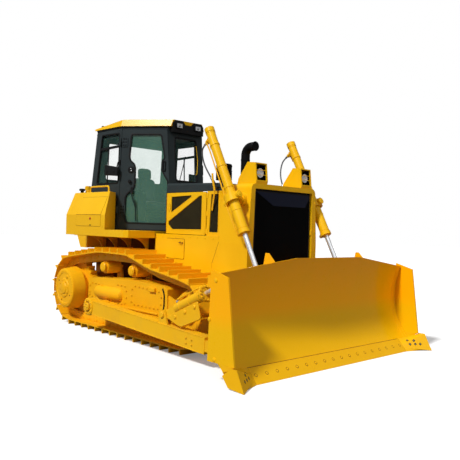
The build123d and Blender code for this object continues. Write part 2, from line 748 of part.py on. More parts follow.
def hinge_leaf(face, run, rise, depth):
    """Flat leaf on a wall's face: distances from the post, heights above the floor, height over the face."""
    with BuildSketch(face.offset(depth[0])) as leaf:
        with BuildLine():
            Polyline((run[0], rise[0]), (run[1], rise[0]), (run[1], rise[1]), (run[0], rise[1]), close=True)
        make_face()
    extrude(leaf.sketch, amount=depth[1] - depth[0])


def fixed_hinges():
    """Lower knuckles with their pins and leaves, on the wall behind the door post."""
    with BuildPart() as hinges:
        for z in hinge_middles:
            rise = (z - cab_floor - hinge_half, z - cab_floor - 2)
            corner = post_lean.X * (z - cab_floor) / post_lean.Z
            hinge_leaf(wall_face(0), (corner - 85, corner + 6), rise, (0, 10))
            tube(hinge_axis(z), -hinge_half, -seat_gap, cab_knuckle)
            tube(hinge_axis(z), -20, hinge_half - 8, cab_hinge_pin)
    return hinges.part


def door_hinges():
    """Upper knuckles with their leaves, on the door."""
    with BuildPart() as hinges:
        for z in hinge_middles:
            low = z - cab_floor
            corner = -post_lean.X * low / post_lean.Z
            hinge_leaf(wall_face(cab_slant), (corner + 25, 125), (low - 70, low + 70), (-1, 10))
            hinge_leaf(wall_face(cab_slant), (corner - 6, corner + 30), (low + 4, low + hinge_half), (2, 12))
            tube(hinge_axis(z), seat_gap, hinge_half, cab_knuckle)
            tube(hinge_axis(z), -1, hinge_half - 7, cab_hinge_pin + pin_play, mode=Mode.SUBTRACT)
    return hinges.part


with BuildPart() as doorway:
    with BuildSketch(door_plane()) as opening:
        with BuildLine():
            Polyline(*door_edge, close=True)
        make_face()
        offset(amount=door_gap, kind=Kind.INTERSECTION, mode=Mode.REPLACE)
    extrude(opening.sketch, amount=shell_depth, both=True)

with BuildPart() as cab_frame:
    add(cab_outside)
    add(cab_inside, mode=Mode.SUBTRACT)
    cut_side_windows()
    add(doorway.part, mode=Mode.SUBTRACT)
    add(mirrored(doorway.part), mode=Mode.SUBTRACT)
    add(fixed_hinges())
    add(mirrored(fixed_hinges()))
save(cab_frame.part, "cab_frame")


def glass_sheet(depth):
    """Sheet of glass that follows the cab's walls."""
    with BuildPart() as sheet_part:
        add(cab_body(depth, depth))
        add(cab_body(depth + glass_thick, depth + glass_thick), mode=Mode.SUBTRACT)
    return sheet_part.part


with BuildPart() as cab_glass:
    cut_side_windows(grow=-seat_gap, mode=Mode.ADD)
    add(glass_sheet(24), mode=Mode.INTERSECT)
save(cab_glass.part, "cab_glass")

with BuildPart() as door:
    with BuildSketch(door_plane()) as leaf:
        with BuildLine():
            Polyline(*door_edge, close=True)
        make_face()
        with BuildLine():
            Polyline(*door_window, close=True)
        make_face(mode=Mode.SUBTRACT)
    extrude(leaf.sketch, amount=shell_depth, both=True)
    add(cab_outside, mode=Mode.INTERSECT)
    add(door_inside, mode=Mode.SUBTRACT)
    add(door_hinges())
save(door.part, "cab_door_right")
save(mirrored(door.part), "cab_door_left")

with BuildPart() as pane:
    with BuildSketch(door_plane()) as outline:
        with BuildLine():
            Polyline(*door_window, close=True)
        make_face()
    extrude(outline.sketch, amount=shell_depth, both=True)
    add(glass_sheet(14), mode=Mode.INTERSECT)
save(pane.part, "door_glass_right")
save(mirrored(pane.part), "door_glass_left")

roof_over = 26.0
roof_rear = -62.0
roof_front = 1384.0
with BuildPart() as cab_roof:
    far = 1600.0
    reach = (far - cab_corner) * tan(radians(cab_slant))
    plan = [(-300, -cab_half), (cab_corner, -cab_half), (far, reach - cab_half), (far, cab_half - reach),
            (cab_corner, cab_half), (-300, cab_half)]
    with BuildSketch(level(cab_top)) as foot:
        with BuildLine():
            Polyline(*plan, close=True)
        make_face()
        offset(amount=roof_over - (cab_top - cab_floor) * tan(radians(cab_taper)), kind=Kind.INTERSECTION,
               mode=Mode.REPLACE)
    extrude(foot.sketch, amount=104, taper=18)
    crown = [(roof_rear, cab_top - 1), (roof_rear, cab_top + 26), (cab_corner + 20, cab_top + 103),
             (roof_front, cab_top + 103), (roof_front, cab_top - 1)]
    prism(side(), crown, cab_half + 50, both=True, mode=Mode.INTERSECT)
save(cab_roof.part, "cab_roof")

visor_front = 1402.0
with BuildPart() as cab_visor:
    plan = [(roof_front + 0.3, -430), (visor_front, -418), (visor_front, 418), (roof_front + 0.3, 430)]
    prism(level(cab_top - 83), plan, 200)
    foot, brow, peak, dip = cab_top - 83, cab_top + 52, cab_top + 98, cab_top + 44
    face = [(-290, foot), (-290, brow), (-245, peak), (-105, peak), (-55, dip), (55, dip), (105, peak),
            (245, peak), (290, brow), (290, foot)]
    prism(across(1300), face, 200, mode=Mode.INTERSECT)
    under = [(1332, foot), (1332, cab_top - 1), (roof_front + 1, cab_top - 1), (roof_front + 1, foot)]
    prism(side(), under, 290, both=True)
save(cab_visor.part, "cab_visor")

with BuildPart() as roof_lamps:
    for sign in (-1, 1):
        with BuildSketch(across(visor_front)) as lens:
            with Locations((sign * 175, cab_top + 20)):
                RectangleRounded(112, 74, 10)
        extrude(amount=14)
save(roof_lamps.part, "roof_lamps")

box_front = 996.0
box_inner = cab_half + 16
box_top = 2058.0


def side_box(sign):
    """Tank box beside the cab: upright below its fold, leaning in above it, with a slanted front."""
    section = [(sign * box_inner, deck_top), (sign * box_inner, box_top), (sign * 1005, box_top),
               (sign * deck_half, 1706), (sign * deck_half, deck_top)]
    with BuildPart() as tank:
        with BuildSketch(across(deck_rear)) as cut:
            with BuildLine():
                Polyline(*section, close=True)
            make_face()
        extrude(amount=box_front - deck_rear)
        slant = [(box_front + 1, sign * (deck_half + 1)), (box_front + 1, sign * (box_inner - 1)),
                 (box_front - 290, sign * (box_inner - 1)), (box_front - 10, sign * (deck_half + 1))]
        prism(level(deck_top - 1), slant, box_top - deck_top + 2, mode=Mode.SUBTRACT)
        edges = tank.edges().filter_by(Axis.X).group_by(Axis.Z)[-1]
        fillet(edges.sort_by(Axis.Y)[-1 if sign > 0 else 0], 22)
    return tank.part


both_sides(side_box, "side_box")

tank_rear = -610.0
filler = (-360.0, -700.0)
with BuildPart() as fuel_tank:
    profile = [(deck_rear, 1180), (deck_rear, 2030), (-260, 2085), (-440, 2085), (tank_rear + 30, 1930),
               (tank_rear, 1500), (-430, 1180)]
    prism(side(), profile, 780, both=True, radius=30)
    post(filler, (2080, 2130), 30)
    post(filler, (2128, 2168), 48)
save(fuel_tank.part, "fuel_tank")

with BuildPart() as grab_rails:
    for sign in (-1, 1):
        y = sign * 905.0
        with BuildLine(Plane(origin=(axle_x, y, 0), x_dir=(1, 0, 0), z_dir=(0, -1, 0))) as loop:
            FilletPolyline((100, box_top), (100, 2150), (660, 2150), (660, box_top), radius=45)
        with BuildSketch(Plane(origin=(axle_x + 100, y, box_top), z_dir=(0, 0, 1))) as round_bar:
            Circle(13)
        sweep(round_bar.sketch, path=loop.wire())
save(grab_rails.part, "grab_rails")

seat_x = 480.0
floor_top = cab_floor + cab_wall
with BuildPart() as operator_seat:
    box((seat_x - 190, seat_x + 190), (-180, 180), (floor_top, floor_top + 340))
    cushion = [(seat_x - 230, floor_top + 300), (seat_x + 270, floor_top + 320),
               (seat_x + 280, floor_top + 430),
               (seat_x - 230, floor_top + 410)]
    prism(side(), cushion, 250, both=True, radius=30)
    back = [(seat_x - 270, floor_top + 380), (seat_x - 150, floor_top + 380), (seat_x - 190, floor_top + 830),
            (seat_x - 290, floor_top + 830)]
    prism(side(), back, 240, both=True, radius=30)
    rest = [(seat_x - 298, floor_top + 770), (seat_x - 215, floor_top + 770), (seat_x - 225, floor_top + 985),
            (seat_x - 310, floor_top + 985)]
    prism(side(), rest, 140, both=True, radius=25)
save(operator_seat.part, "operator_seat")

with BuildPart() as controls:
    dash = [(1120, floor_top), (1300, floor_top), (1290, 2180), (1180, 2200), (1120, 2050)]
    prism(side(), dash, 190, both=True)
    for sign in (-1, 1):
        box((300, 760), sorted((sign * 300, sign * 430)), (floor_top, floor_top + 520))
        post((680, sign * 365), (floor_top + 520, floor_top + 670), 12)
        post((680, sign * 365), (floor_top + 660, floor_top + 730), 24)
save(controls.part, "controls")

# ---------------------------------------------------------------- push frame


def strut(a, b, half):
    """Corners of a straight bar of constant height between two points of the side plane."""
    run = hypot(b[0] - a[0], b[1] - a[1])
    nx, nz = -(b[1] - a[1]) / run * half, (b[0] - a[0]) / run * half
    return [(a[0] + nx, a[1] + nz), (b[0] + nx, b[1] + nz), (b[0] - nx, b[1] - nz), (a[0] - nx, a[1] - nz)]


socket_radius = 125.0
front_eye = 80.0
front_half = 60.0
front_pin = 28.0
eye_play = 15.0  # the right arm's eye wanders about its pin as the blade tilts
tilt_pin = 25.0
bracket_foot = [(2760, 330), (2960, 320), (2900, 470), (tilt_rear[0] + 30, tilt_rear[1] + 58),
                (tilt_rear[0] - 60, tilt_rear[1] + 40)]


def push_arm(sign):
    """Box-section arm with the ball socket at its rear and an eye at the blade."""
    y = sign * arm_y
    with BuildPart() as arm:
        prism(side(y), strut(trunnion, (3640, 262), arm_rise / 2), arm_width / 2, both=True)
        prism(side(y), strut((3600, 264), arm_front, 62), front_half, both=True)
        drum(side(y), trunnion, socket_radius, arm_width / 2)
        drum(side(y), arm_front, front_eye, front_half)
        for face in (-1, 1):
            prism(side(y + face * 46), bracket_foot, 12, both=True)
        drum(side(y), tilt_rear, tilt_pin, 62)
        if sign < 0:
            with Locations((axle_x + tilt_rear[0], y, tilt_rear[1])):
                Sphere(tilt_ball)
        with Locations((axle_x + trunnion[0], y, trunnion[1])):
            Sphere(ball_radius + seat_gap, mode=Mode.SUBTRACT)
        drum(side(y), trunnion, 62, arm_width, mode=Mode.SUBTRACT)
        eye = front_pin + (eye_play if sign < 0 else seat_gap)
        drum(side(y), arm_front, eye, front_half + 5, mode=Mode.SUBTRACT)
    return arm.part


both_sides(push_arm, "push_arm")


def trunnion_ball(sign):
    """Ball that turns on the trunnion pin inside the arm's socket."""
    y = sign * arm_y
    with BuildPart() as ball:
        with Locations((axle_x + trunnion[0], y, trunnion[1])):
            Sphere(ball_radius)
        drum(side(y), trunnion, ball_radius + 5, ball_half, mode=Mode.INTERSECT)
        drum(side(y), trunnion, trunnion_pin + pin_play, ball_radius + 5, mode=Mode.SUBTRACT)
    return ball.part


both_sides(trunnion_ball, "trunnion_ball")

# ---------------------------------------------------------------- blade


def mold_angle(z, radius=mold_radius):
    """Polar angle, about the moldboard's centre, of its skin at a height."""
    return 180 - degrees(atan2(z - mold_centre[1], (radius ** 2 - (z - mold_centre[1]) ** 2) ** 0.5))


low_angle = radians(mold_angle(mold_low))
lip_start = (mold_centre[0] + mold_radius * cos(low_angle), mold_low)


def lip(along, out):
    """Point in front of the straight lip: distance down the slope, distance out of the face."""
    return (lip_start[0] - sin(low_angle) * along - cos(low_angle) * out,
            lip_start[1] + cos(low_angle) * along - sin(low_angle) * out)


edge_tip = (mold_low - sin(low_angle) * edge_thick) / -cos(low_angle)
edge_back = (mold_low - 14) / -cos(low_angle)
edge_outline = [lip(edge_tip - edge_height, 0), lip(edge_back, 0), lip(edge_tip, edge_thick),
                lip(edge_tip - edge_height, edge_thick)]
skin_back = mold_radius + mold_skin


def behind(z, into=2.0):
    """Point just inside the skin's rear face at a height."""
    return (mold_centre[0] - (skin_back ** 2 - (z - mold_centre[1]) ** 2) ** 0.5 + into, z)


lug_foot = [behind(1060), behind(930), behind(790), behind(690), (4020, 690), (3925, 735)]
lug_heel = [(3868, 760), (3858, 826), (3886, 862), (3934, 900)]
lug_tall = lug_heel + [(3962, 1170), (3990, 1302), (4030, 1302), behind(1165)] + lug_foot
lug_short = lug_heel + [(3958, 1120), (3990, 1150), behind(1150)] + lug_foot
end_plate = [(4041, 212), (4452, 212), (4331, 1077), (4071, 1149)]

with BuildPart() as moldboard:
    with BuildSketch(side()) as skin:
        with BuildLine():
            high_angle = mold_angle(mold_top[0])
            sweep_angle = degrees(low_angle) - high_angle
            front_arc = CenterArc(mold_centre, mold_radius, high_angle, sweep_angle)
            back_arc = CenterArc(mold_centre, skin_back, high_angle, sweep_angle)
            Line(front_arc @ 0, back_arc @ 0)
            Line(front_arc @ 1, back_arc @ 1)
        make_face()
    extrude(amount=blade_half - 10, both=True)
    prism(side(), [lip(0, 0), lip(edge_back - 6, 0), lip(edge_back - 18, -mold_skin), lip(0, -mold_skin)],
          blade_half - 10, both=True)
    lower_beam = [(4041, 214), behind(214), behind(340), behind(470), (4041, 430)]
    upper_beam = [(4000, 975), behind(945), behind(1020), behind(1095), (4000, 1080)]
    prism(side(), lower_beam, blade_half - 12, both=True)
    prism(side(), upper_beam, blade_half - 12, both=True)
    for y in (-1150, -400, 0, 400, 1150):
        rib = [(4041, 425), behind(425), behind(560), behind(700), behind(840), behind(960), (4010, 980)]
        prism(side(y), rib, 7, both=True)
    above = [(-1900, mold_top[1] - 27), (-mold_level, mold_top[0]), (mold_level, mold_top[0]),
             (1900, mold_top[1] - 27), (1900, 1500), (-1900, 1500)]
    prism(across(4080), above, 500, mode=Mode.SUBTRACT)
    for sign in (-1, 1):
        prism(side(sign * (blade_half - 10)), end_plate, 10, both=True)
        y = sign * lift_y
        prism(side(y + sign * (lug_gap + 11)), lug_tall, 11, both=True)
        prism(side(y - sign * (lug_gap + 11)), lug_short, 11, both=True)
        for face in (-1, 1):
            out = side(y + face * (lug_gap + 26))
            drum(out, lift_lug, 46, 6)
            drum(side(y + face * (lug_gap + 20)), lift_lug, 24, 20)
        ear = [(3838, 190), (3815, 249), (3838, 308), (3990, 420), (4045, 420), (4045, 216), (3990, 190)]
        for face in (-1, 1):
            prism(side(sign * arm_y + face * (front_half + 32)), ear, 12, both=True)
        drum(side(sign * arm_y), arm_front, front_pin, front_half + 60)
        ear = [(3890, 955), (3876, 995), (3890, 1035), (4002, 1078), (4002, 940)]
        for face in (-1, 1):
            prism(side(sign * arm_y + face * 52), ear, 10, both=True)
        drum(side(sign * arm_y), tilt_front, 24, 78)
save(moldboard.part, "moldboard")

with BuildPart() as cutting_edge:
    third = edge_half * 2 / 3
    for y in (-third, 0, third):
        prism(side(y), edge_outline, third / 2 - 1, both=True)
save(cutting_edge.part, "cutting_edge")

bit_inner = [lip(edge_tip - edge_height, seat_gap), lip(edge_back, seat_gap), lip(edge_tip, edge_thick),
             lip(edge_tip - edge_height, edge_thick)]
with BuildPart() as end_bits:
    for sign in (-1, 1):
        with BuildSketch(side(sign * (edge_half + 1))) as inner_end:
            with BuildLine():
                Polyline(*bit_inner, close=True)
            make_face()
        with BuildSketch(side(sign * (blade_half + 33))) as outer_end:
            with BuildLine():
                Polyline(lip(20, seat_gap), lip(edge_back, seat_gap), *bit_tip, close=True)
            make_face()
        loft(sections=[inner_end.sketch.face(), outer_end.sketch.face()], ruled=True)
save(end_bits.part, "end_bits")

with BuildPart() as blade_brace:
    line = Plane(origin=(axle_x + tilt_rear[0], arm_y, tilt_rear[1]),
                 z_dir=(tilt_front[0] - tilt_rear[0], 0, tilt_front[1] - tilt_rear[1]))
    run = hypot(tilt_front[0] - tilt_rear[0], tilt_front[1] - tilt_rear[1])
    for start, stop, radius in ((40, 330, 34), (300, 910, 50), (880, run - 40, 34)):
        with BuildSketch(line.offset(start)) as round_bar:
            Circle(radius)
        extrude(round_bar.sketch, amount=stop - start)
    for centre in (tilt_rear, tilt_front):
        drum(side(arm_y), centre, tilt_eye, 28)
    drum(side(arm_y), tilt_rear, tilt_pin + seat_gap, 40, mode=Mode.SUBTRACT)
    drum(side(arm_y), tilt_front, 24 + seat_gap, 40, mode=Mode.SUBTRACT)
save(blade_brace.part, "blade_brace")

# ---------------------------------------------------------------- cylinders

tilt_run = hypot(tilt_front[0] - tilt_rear[0], tilt_front[1] - tilt_rear[1])
tilt_line = Plane(origin=(axle_x + tilt_rear[0], -arm_y, tilt_rear[1]),
                  z_dir=(tilt_front[0] - tilt_rear[0], 0, tilt_front[1] - tilt_rear[1]))


with BuildPart() as tilt_barrel:
    tube(tilt_line, 250, tilt_gland, tilt_bore + 12)
    tube(tilt_line, tilt_gland - 60, tilt_gland, tilt_bore + 22)
    prism(side(-arm_y), strut(tilt_rear, (3090, 622), 44), 28, both=True)
    drum(side(-arm_y), tilt_rear, tilt_eye, 28)
    tube(tilt_line, 290, tilt_gland - 40, tilt_bore, mode=Mode.SUBTRACT)
    tube(tilt_line, tilt_gland - 41, tilt_gland + 1, tilt_rod_radius + pin_play, mode=Mode.SUBTRACT)
    with Locations((axle_x + tilt_rear[0], -arm_y, tilt_rear[1])):
        Sphere(tilt_ball + seat_gap, mode=Mode.SUBTRACT)
save(tilt_barrel.part, "tilt_barrel")

with BuildPart() as tilt_rod:
    tube(tilt_line, 560, tilt_run - 40, tilt_rod_radius)
    tube(tilt_line, 560, 620, tilt_bore - pin_play)
    drum(side(-arm_y), tilt_front, tilt_eye, 25)
    drum(side(-arm_y), tilt_front, 38, 40, mode=Mode.SUBTRACT)
save(tilt_rod.part, "tilt_rod")

lift_run = hypot(lift_lug[0] - lift_axis[0], lift_lug[1] - lift_axis[1])


def lift_line(sign):
    """Line of a lift cylinder, from its trunnion down to the blade."""
    return Plane(origin=(axle_x + lift_axis[0], sign * lift_y, lift_axis[1]), x_dir=(0, 1, 0),
                 z_dir=(lift_lug[0] - lift_axis[0], 0, lift_lug[1] - lift_axis[1]))


def cross_line(sign):
    """Line of the trunnion stubs, square to the barrel and forward."""
    down = lift_line(sign).z_dir
    return Plane(origin=lift_line(sign).origin, x_dir=(0, 1, 0), z_dir=(-down.Z, 0, down.X))


def lift_yoke(sign):
    """Ring that carries the barrel's stubs and turns in the guard's boss."""
    with BuildPart() as yoke:
        tube(lift_line(sign), -48, 48, 104)
        for reach in (-1, 1):
            tube(cross_line(sign), reach * 82, reach * 128, 46)
        shaft = side(sign * (boss_face - boss_depth / 2 + 18))
        drum(shaft, lift_axis, yoke_shaft, boss_depth / 2 + 16)
        drum(side(sign * (boss_face + 12)), lift_axis, 62, 11.7)
        tube(lift_line(sign), -60, 60, 78, mode=Mode.SUBTRACT)
        for reach in (-1, 1):
            tube(cross_line(sign), reach * 60, reach * 112, 24 + pin_play, mode=Mode.SUBTRACT)
    return yoke.part


def lift_barrel(sign):
    line = lift_line(sign)
    with BuildPart() as barrel:
        tube(line, -lift_tail, 0, lift_head)
        tube(line, -60, lift_gland, lift_bore)
        tube(line, lift_gland - 46, lift_gland, lift_bore + 9)
        tube(line, -lift_tail - 8, -lift_tail + 50, lift_head + 5)
        for reach in (-1, 1):
            tube(cross_line(sign), reach * 40, reach * 108, 24)
        middle = line.origin + line.z_dir * -port_drop
        port = Plane(origin=middle, x_dir=(0, 1, 0), z_dir=-cross_line(sign).z_dir)
        with BuildSketch(port.offset(40)) as stub:
            Circle(26)
        extrude(stub.sketch, amount=port_reach - 40)
        tube(line, -lift_tail + 30, lift_gland - 34, lift_piston, mode=Mode.SUBTRACT)
        tube(line, lift_gland - 35, lift_gland + 1, lift_rod_radius + pin_play, mode=Mode.SUBTRACT)
    return barrel.part


def lift_rod(sign):
    line = lift_line(sign)
    with BuildPart() as rod:
        tube(line, -60, lift_run - 40, lift_rod_radius)
        tube(line, -60, 5, lift_piston - pin_play)
        drum(side(sign * lift_y), lift_lug, eye_radius, eye_half)
        drum(side(sign * lift_y), lift_lug, 27, eye_half + 5, mode=Mode.SUBTRACT)
    return rod.part


both_sides(lift_yoke, "lift_yoke")
both_sides(lift_barrel, "lift_barrel")
both_sides(lift_rod, "lift_rod")

# ---------------------------------------------------------------- hoses


def hose(sign):
    """Hose from the barrel's top port to the elbow on the hood's side."""
    down = lift_line(sign).z_dir
    start = lift_line(sign).origin + down * -port_drop - cross_line(sign).z_dir * port_reach
    out = start - cross_line(sign).z_dir * hose_lead
    stops = [Vector(axle_x + x, sign * y, z) for x, y, z in hose_stops + [hose_end]]
    points = [start, out] + stops
    radii = []
    for before, here, after in zip(points, points[1:], points[2:]):
        turn = (here - before).get_angle(after - here)
        shorter = min((here - before).length, (after - here).length)
        radii.append(0.45 * shorter / tan(radians(turn / 2)))
    with BuildPart() as cord:
        with BuildLine() as route:
            FilletPolyline(*points, radius=radii)
        with BuildSketch(Plane(origin=start, z_dir=points[1] - start)) as ring:
            Circle(hose_radius)
        sweep(ring.sketch, path=route.wire())
    print("hose radii", [round(r) for r in radii], "length", round(route.wire().length))
    return cord.part


both_sides(hose, "lift_hose")
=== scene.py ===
from math import cos, pi, radians, sin, tan

import bpy
import numpy as np
from mathutils import Matrix, Vector
from mathutils.bvhtree import BVHTree


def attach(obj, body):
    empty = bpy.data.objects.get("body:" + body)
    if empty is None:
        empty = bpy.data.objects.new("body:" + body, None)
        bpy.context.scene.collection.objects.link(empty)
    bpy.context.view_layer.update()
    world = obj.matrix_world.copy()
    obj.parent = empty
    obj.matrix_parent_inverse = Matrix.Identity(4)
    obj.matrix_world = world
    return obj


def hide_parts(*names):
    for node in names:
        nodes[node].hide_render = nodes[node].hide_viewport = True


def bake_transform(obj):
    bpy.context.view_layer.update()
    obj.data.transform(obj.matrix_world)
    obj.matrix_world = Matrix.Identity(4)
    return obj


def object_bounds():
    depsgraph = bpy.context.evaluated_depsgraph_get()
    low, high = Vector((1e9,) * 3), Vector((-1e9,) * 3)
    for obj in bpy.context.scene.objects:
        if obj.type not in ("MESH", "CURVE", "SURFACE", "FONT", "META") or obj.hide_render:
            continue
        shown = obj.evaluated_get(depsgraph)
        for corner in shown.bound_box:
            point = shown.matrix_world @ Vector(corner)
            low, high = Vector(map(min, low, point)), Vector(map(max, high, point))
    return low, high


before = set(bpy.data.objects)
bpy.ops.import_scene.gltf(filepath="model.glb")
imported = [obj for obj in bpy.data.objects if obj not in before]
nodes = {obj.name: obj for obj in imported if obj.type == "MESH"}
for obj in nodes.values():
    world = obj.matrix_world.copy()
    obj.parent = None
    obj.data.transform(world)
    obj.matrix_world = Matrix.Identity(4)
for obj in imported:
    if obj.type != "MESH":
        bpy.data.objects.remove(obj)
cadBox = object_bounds()
hands = ((-1, "Right"), (1, "Left"))  # the side a piece stands on, as a sign of y
scene = bpy.context.scene
axleX = cadBox[0].x + 0.640  # the sprocket axle stands 640 mm ahead of the drawbar's end
print("frame loaded:", len(nodes), "nodes")

# Shapes are worked out in millimetres: x forward from the sprocket axle, y left, z up from the ground.
# A shape is (points, four-sided faces, three-sided faces).


def unit(v):
    v = np.asarray(v, float)
    return v / np.linalg.norm(v, axis=-1, keepdims=True)


def outward(points, quads, tris):
    # Turns every face over when the signed volume, the sum of a . (b x c) / 6, is negative
    fans = np.vstack([quads[:, [0, 1, 2]], quads[:, [0, 2, 3]], tris]).astype(int)
    a, b, c = points[fans[:, 0]], points[fans[:, 1]], points[fans[:, 2]]
    if np.einsum("ij,ij->i", a - points.mean(0), np.cross(b - points.mean(0), c - points.mean(0))).sum() < 0:
        return points, quads[:, ::-1], tris[:, ::-1]
    return points, quads, tris


def skin(stack, capped=True):
    # Rings of points, each closed round, joined in order; the two end rings are closed with a fan
    n, m = stack.shape[:2]
    points = stack.reshape(-1, 3)
    i, j = np.arange(n - 1)[:, None] * m, np.arange(m)[None, :]
    k = (j + 1) % m
    quads = np.stack([i + j, i + k, i + m + k, i + m + j], -1).reshape(-1, 4)
    tris = np.zeros((0, 3), int)
    if capped:
        first, last = n * m, n * m + 1
        points = np.vstack([points, stack[0].mean(0), stack[-1].mean(0)])
        j, k = j[0], k[0]
        tris = np.vstack([np.stack([k, j, np.full(m, first)], 1),
                          np.stack([j + (n - 1) * m, k + (n - 1) * m, np.full(m, last)], 1)])
    return outward(points, quads, tris)


def loop(stack):
    # Rings of points joined in order, with the last ring joined back to the first
    n, m = stack.shape[:2]
    i, j = np.arange(n)[:, None], np.arange(m)[None, :]
    i2, j2 = (i + 1) % n, (j + 1) % m
    quads = np.stack([i * m + j, i * m + j2, i2 * m + j2, i2 * m + j], -1).reshape(-1, 4)
    return outward(stack.reshape(-1, 3), quads, np.zeros((0, 3), int))


def merge(*shapes):
    starts = np.cumsum([0] + [len(s[0]) for s in shapes[:-1]])
    return (np.vstack([s[0] for s in shapes]),
            np.vstack([s[1] + k for s, k in zip(shapes, starts)]),
            np.vstack([s[2] + k for s, k in zip(shapes, starts)]))


def basis(axis):
    # Two directions square to each axis, and the axis: rows u, v, w
    w = unit(np.atleast_2d(axis))
    helper = np.where(np.abs(w[:, 2:3]) < 0.9, [[0.0, 0.0, 1.0]], [[1.0, 0.0, 0.0]])
    u = unit(np.cross(helper, w))
    return np.stack([u, np.cross(w, u), w], 1)


def repeated(points, quads, tris):
    # One shape for each row of points, all with the same faces
    shift = (np.arange(len(points)) * points.shape[1])[:, None, None]
    return points.reshape(-1, 3), (quads[None] + shift).reshape(-1, 4), (tris[None] + shift).reshape(-1, 3)


def copies(shape, places, axes):
    # The shape, drawn about the origin with its foot on z = 0, at each place with z along each axis
    places = np.atleast_2d(places).astype(float)
    frames = basis(np.broadcast_to(axes, places.shape))
    points, quads, tris = shape
    return repeated(places[:, None, :] + np.einsum("pi,kij->kpj", points, frames), quads, tris)


def circle(sides, start=0.0):
    a = start + np.arange(sides) * 2 * pi / sides
    return np.stack([np.cos(a), np.sin(a)], 1)


def turned(profile, place=(0, 0, 0), axis=(0, 0, 1), sides=24):
    # Profile of (radius, height) pairs turned once round an axis through place
    profile = np.asarray(profile, float)
    ring = circle(sides)
    stack = np.concatenate([profile[:, None, :1] * ring[None], np.broadcast_to(profile[:, None, 1:],
                           (len(profile), sides, 1))], 2)
    return copies(skin(stack), place, axis)


def roundAxis(centre, axis, count, radius, start=0.0):
    # Points evenly round a centre in the plane square to an axis
    u, v, _ = basis(axis)[0]
    a = start + np.arange(count) * 2 * pi / count
    return np.asarray(centre) + radius * (np.cos(a)[:, None] * u + np.sin(a)[:, None] * v)


def ringRound(centre, axis, profile, sides=44):
    # Closed ring: a profile of (radius, height) pairs carried once round an axis
    u, v, w = basis(axis)[0]
    angle = np.linspace(0, 2 * pi, sides, False)
    stack = np.stack([np.asarray(centre) + (cos(a) * u + sin(a) * v) * r + w * h for a in angle
                      for r, h in profile])
    return loop(stack.reshape(sides, len(profile), 3))


def hexHead(radius, height, washer=True):
    # Six-sided head with a chamfered top, on a round washer
    ring = circle(6)
    levels = [(0, 1.0), (height * 0.85, 1.0), (height, 0.86)]
    stack = np.stack([np.column_stack([ring * radius * r, np.full(6, h)]) for h, r in levels])
    head = skin(stack)
    if not washer:
        return head
    disc = [(radius * 1.45, 0), (radius * 1.45, height * 0.22), (radius * 1.3, height * 0.28)]
    return merge(head, turned(disc, sides=10))


def inset(outline, amount):
    # Each corner moved inwards by amount along the mean of its two edges' normals
    ahead, back = np.roll(outline, -1, 0) - outline, outline - np.roll(outline, 1, 0)
    n1 = unit(np.stack([-back[:, 1], back[:, 0]], 1))
    n2 = unit(np.stack([-ahead[:, 1], ahead[:, 0]], 1))
    area = np.sum(outline[:, 0] * np.roll(outline[:, 1], -1) - np.roll(outline[:, 0], -1) * outline[:, 1])
    mean = (n1 + n2) / (1 + np.sum(n1 * n2, 1, keepdims=True)).clip(0.35)
    return outline + np.sign(area) * amount * mean


def corners(before, corner, after, radius, steps):
    # Each corner replaced by a curve between two points, a and b, that stand radius from it:
    # (1-t)^2 a + 2t(1-t) corner + t^2 b
    back, ahead = before - corner, after - corner
    reach = np.minimum(radius, 0.48 * np.minimum(np.linalg.norm(back, axis=1), np.linalg.norm(ahead, axis=1)))
    a, b = corner + unit(back) * reach[:, None], corner + unit(ahead) * reach[:, None]
    t = np.linspace(0, 1, steps + 1)[None, :, None]
    curve = (1 - t) ** 2 * a[:, None] + 2 * t * (1 - t) * corner[:, None] + t ** 2 * b[:, None]
    return curve.reshape(-1, corner.shape[1])


def rounded(outline, radius, steps=4):
    # Closed outline with each corner rounded
    outline = np.asarray(outline, float)
    return corners(np.roll(outline, 1, 0), outline, np.roll(outline, -1, 0), radius, steps)


def bent(path, radius, steps=6):
    # Open run of points with each inner corner rounded
    path = np.asarray(path, float)
    return np.vstack([path[:1], corners(path[:-2], path[1:-1], path[2:], radius, steps), path[-1:]])


def sweep(path, profile, up, closed=False):
    # Profile of (across, up) pairs carried along a path; across is square to the path and to up
    path, profile = np.asarray(path, float), np.asarray(profile, float)
    if closed:
        run = np.roll(path, -1, 0) - np.roll(path, 1, 0)
    else:
        run = np.gradient(path, axis=0)
    across = unit(np.cross(unit(run), np.broadcast_to(up, run.shape)))
    rise = np.cross(across, unit(run))
    stack = path[:, None] + profile[None, :, :1] * across[:, None] + profile[None, :, 1:] * rise[:, None]
    return loop(stack) if closed else skin(stack)


def pipe(path, radius, up=(0, 1, 0), sides=12, bend=0.0):
    path = bent(path, bend) if bend else path
    return sweep(path, circle(sides) * radius, up)


def plate(outline, height, origin, u, v, bevel=1.5, radius=0.0):
    # Flat plate: an outline in directions u and v, raised by height, with its top edge bevelled
    outline = np.asarray(outline, float)
    if radius:
        outline = rounded(outline, radius)
    u, v = unit(u), unit(v)
    n = np.cross(u, v)
    levels = [(0, 0), (height - bevel, 0), (height, bevel)]
    stack = np.stack([np.asarray(origin) + inset(outline, b) @ np.stack([u, v]) + n * h for h, b in levels])
    return skin(stack)


def band(outline, profile, place):
    # Closed strip along an outline: profile pairs are (inwards, out of the face); place maps (a, b, out)
    outline, profile = np.asarray(outline, float), np.asarray(profile, float)
    return loop(np.stack([place(*inset(outline, p).T, np.full(len(outline), q)) for p, q in profile], 1))


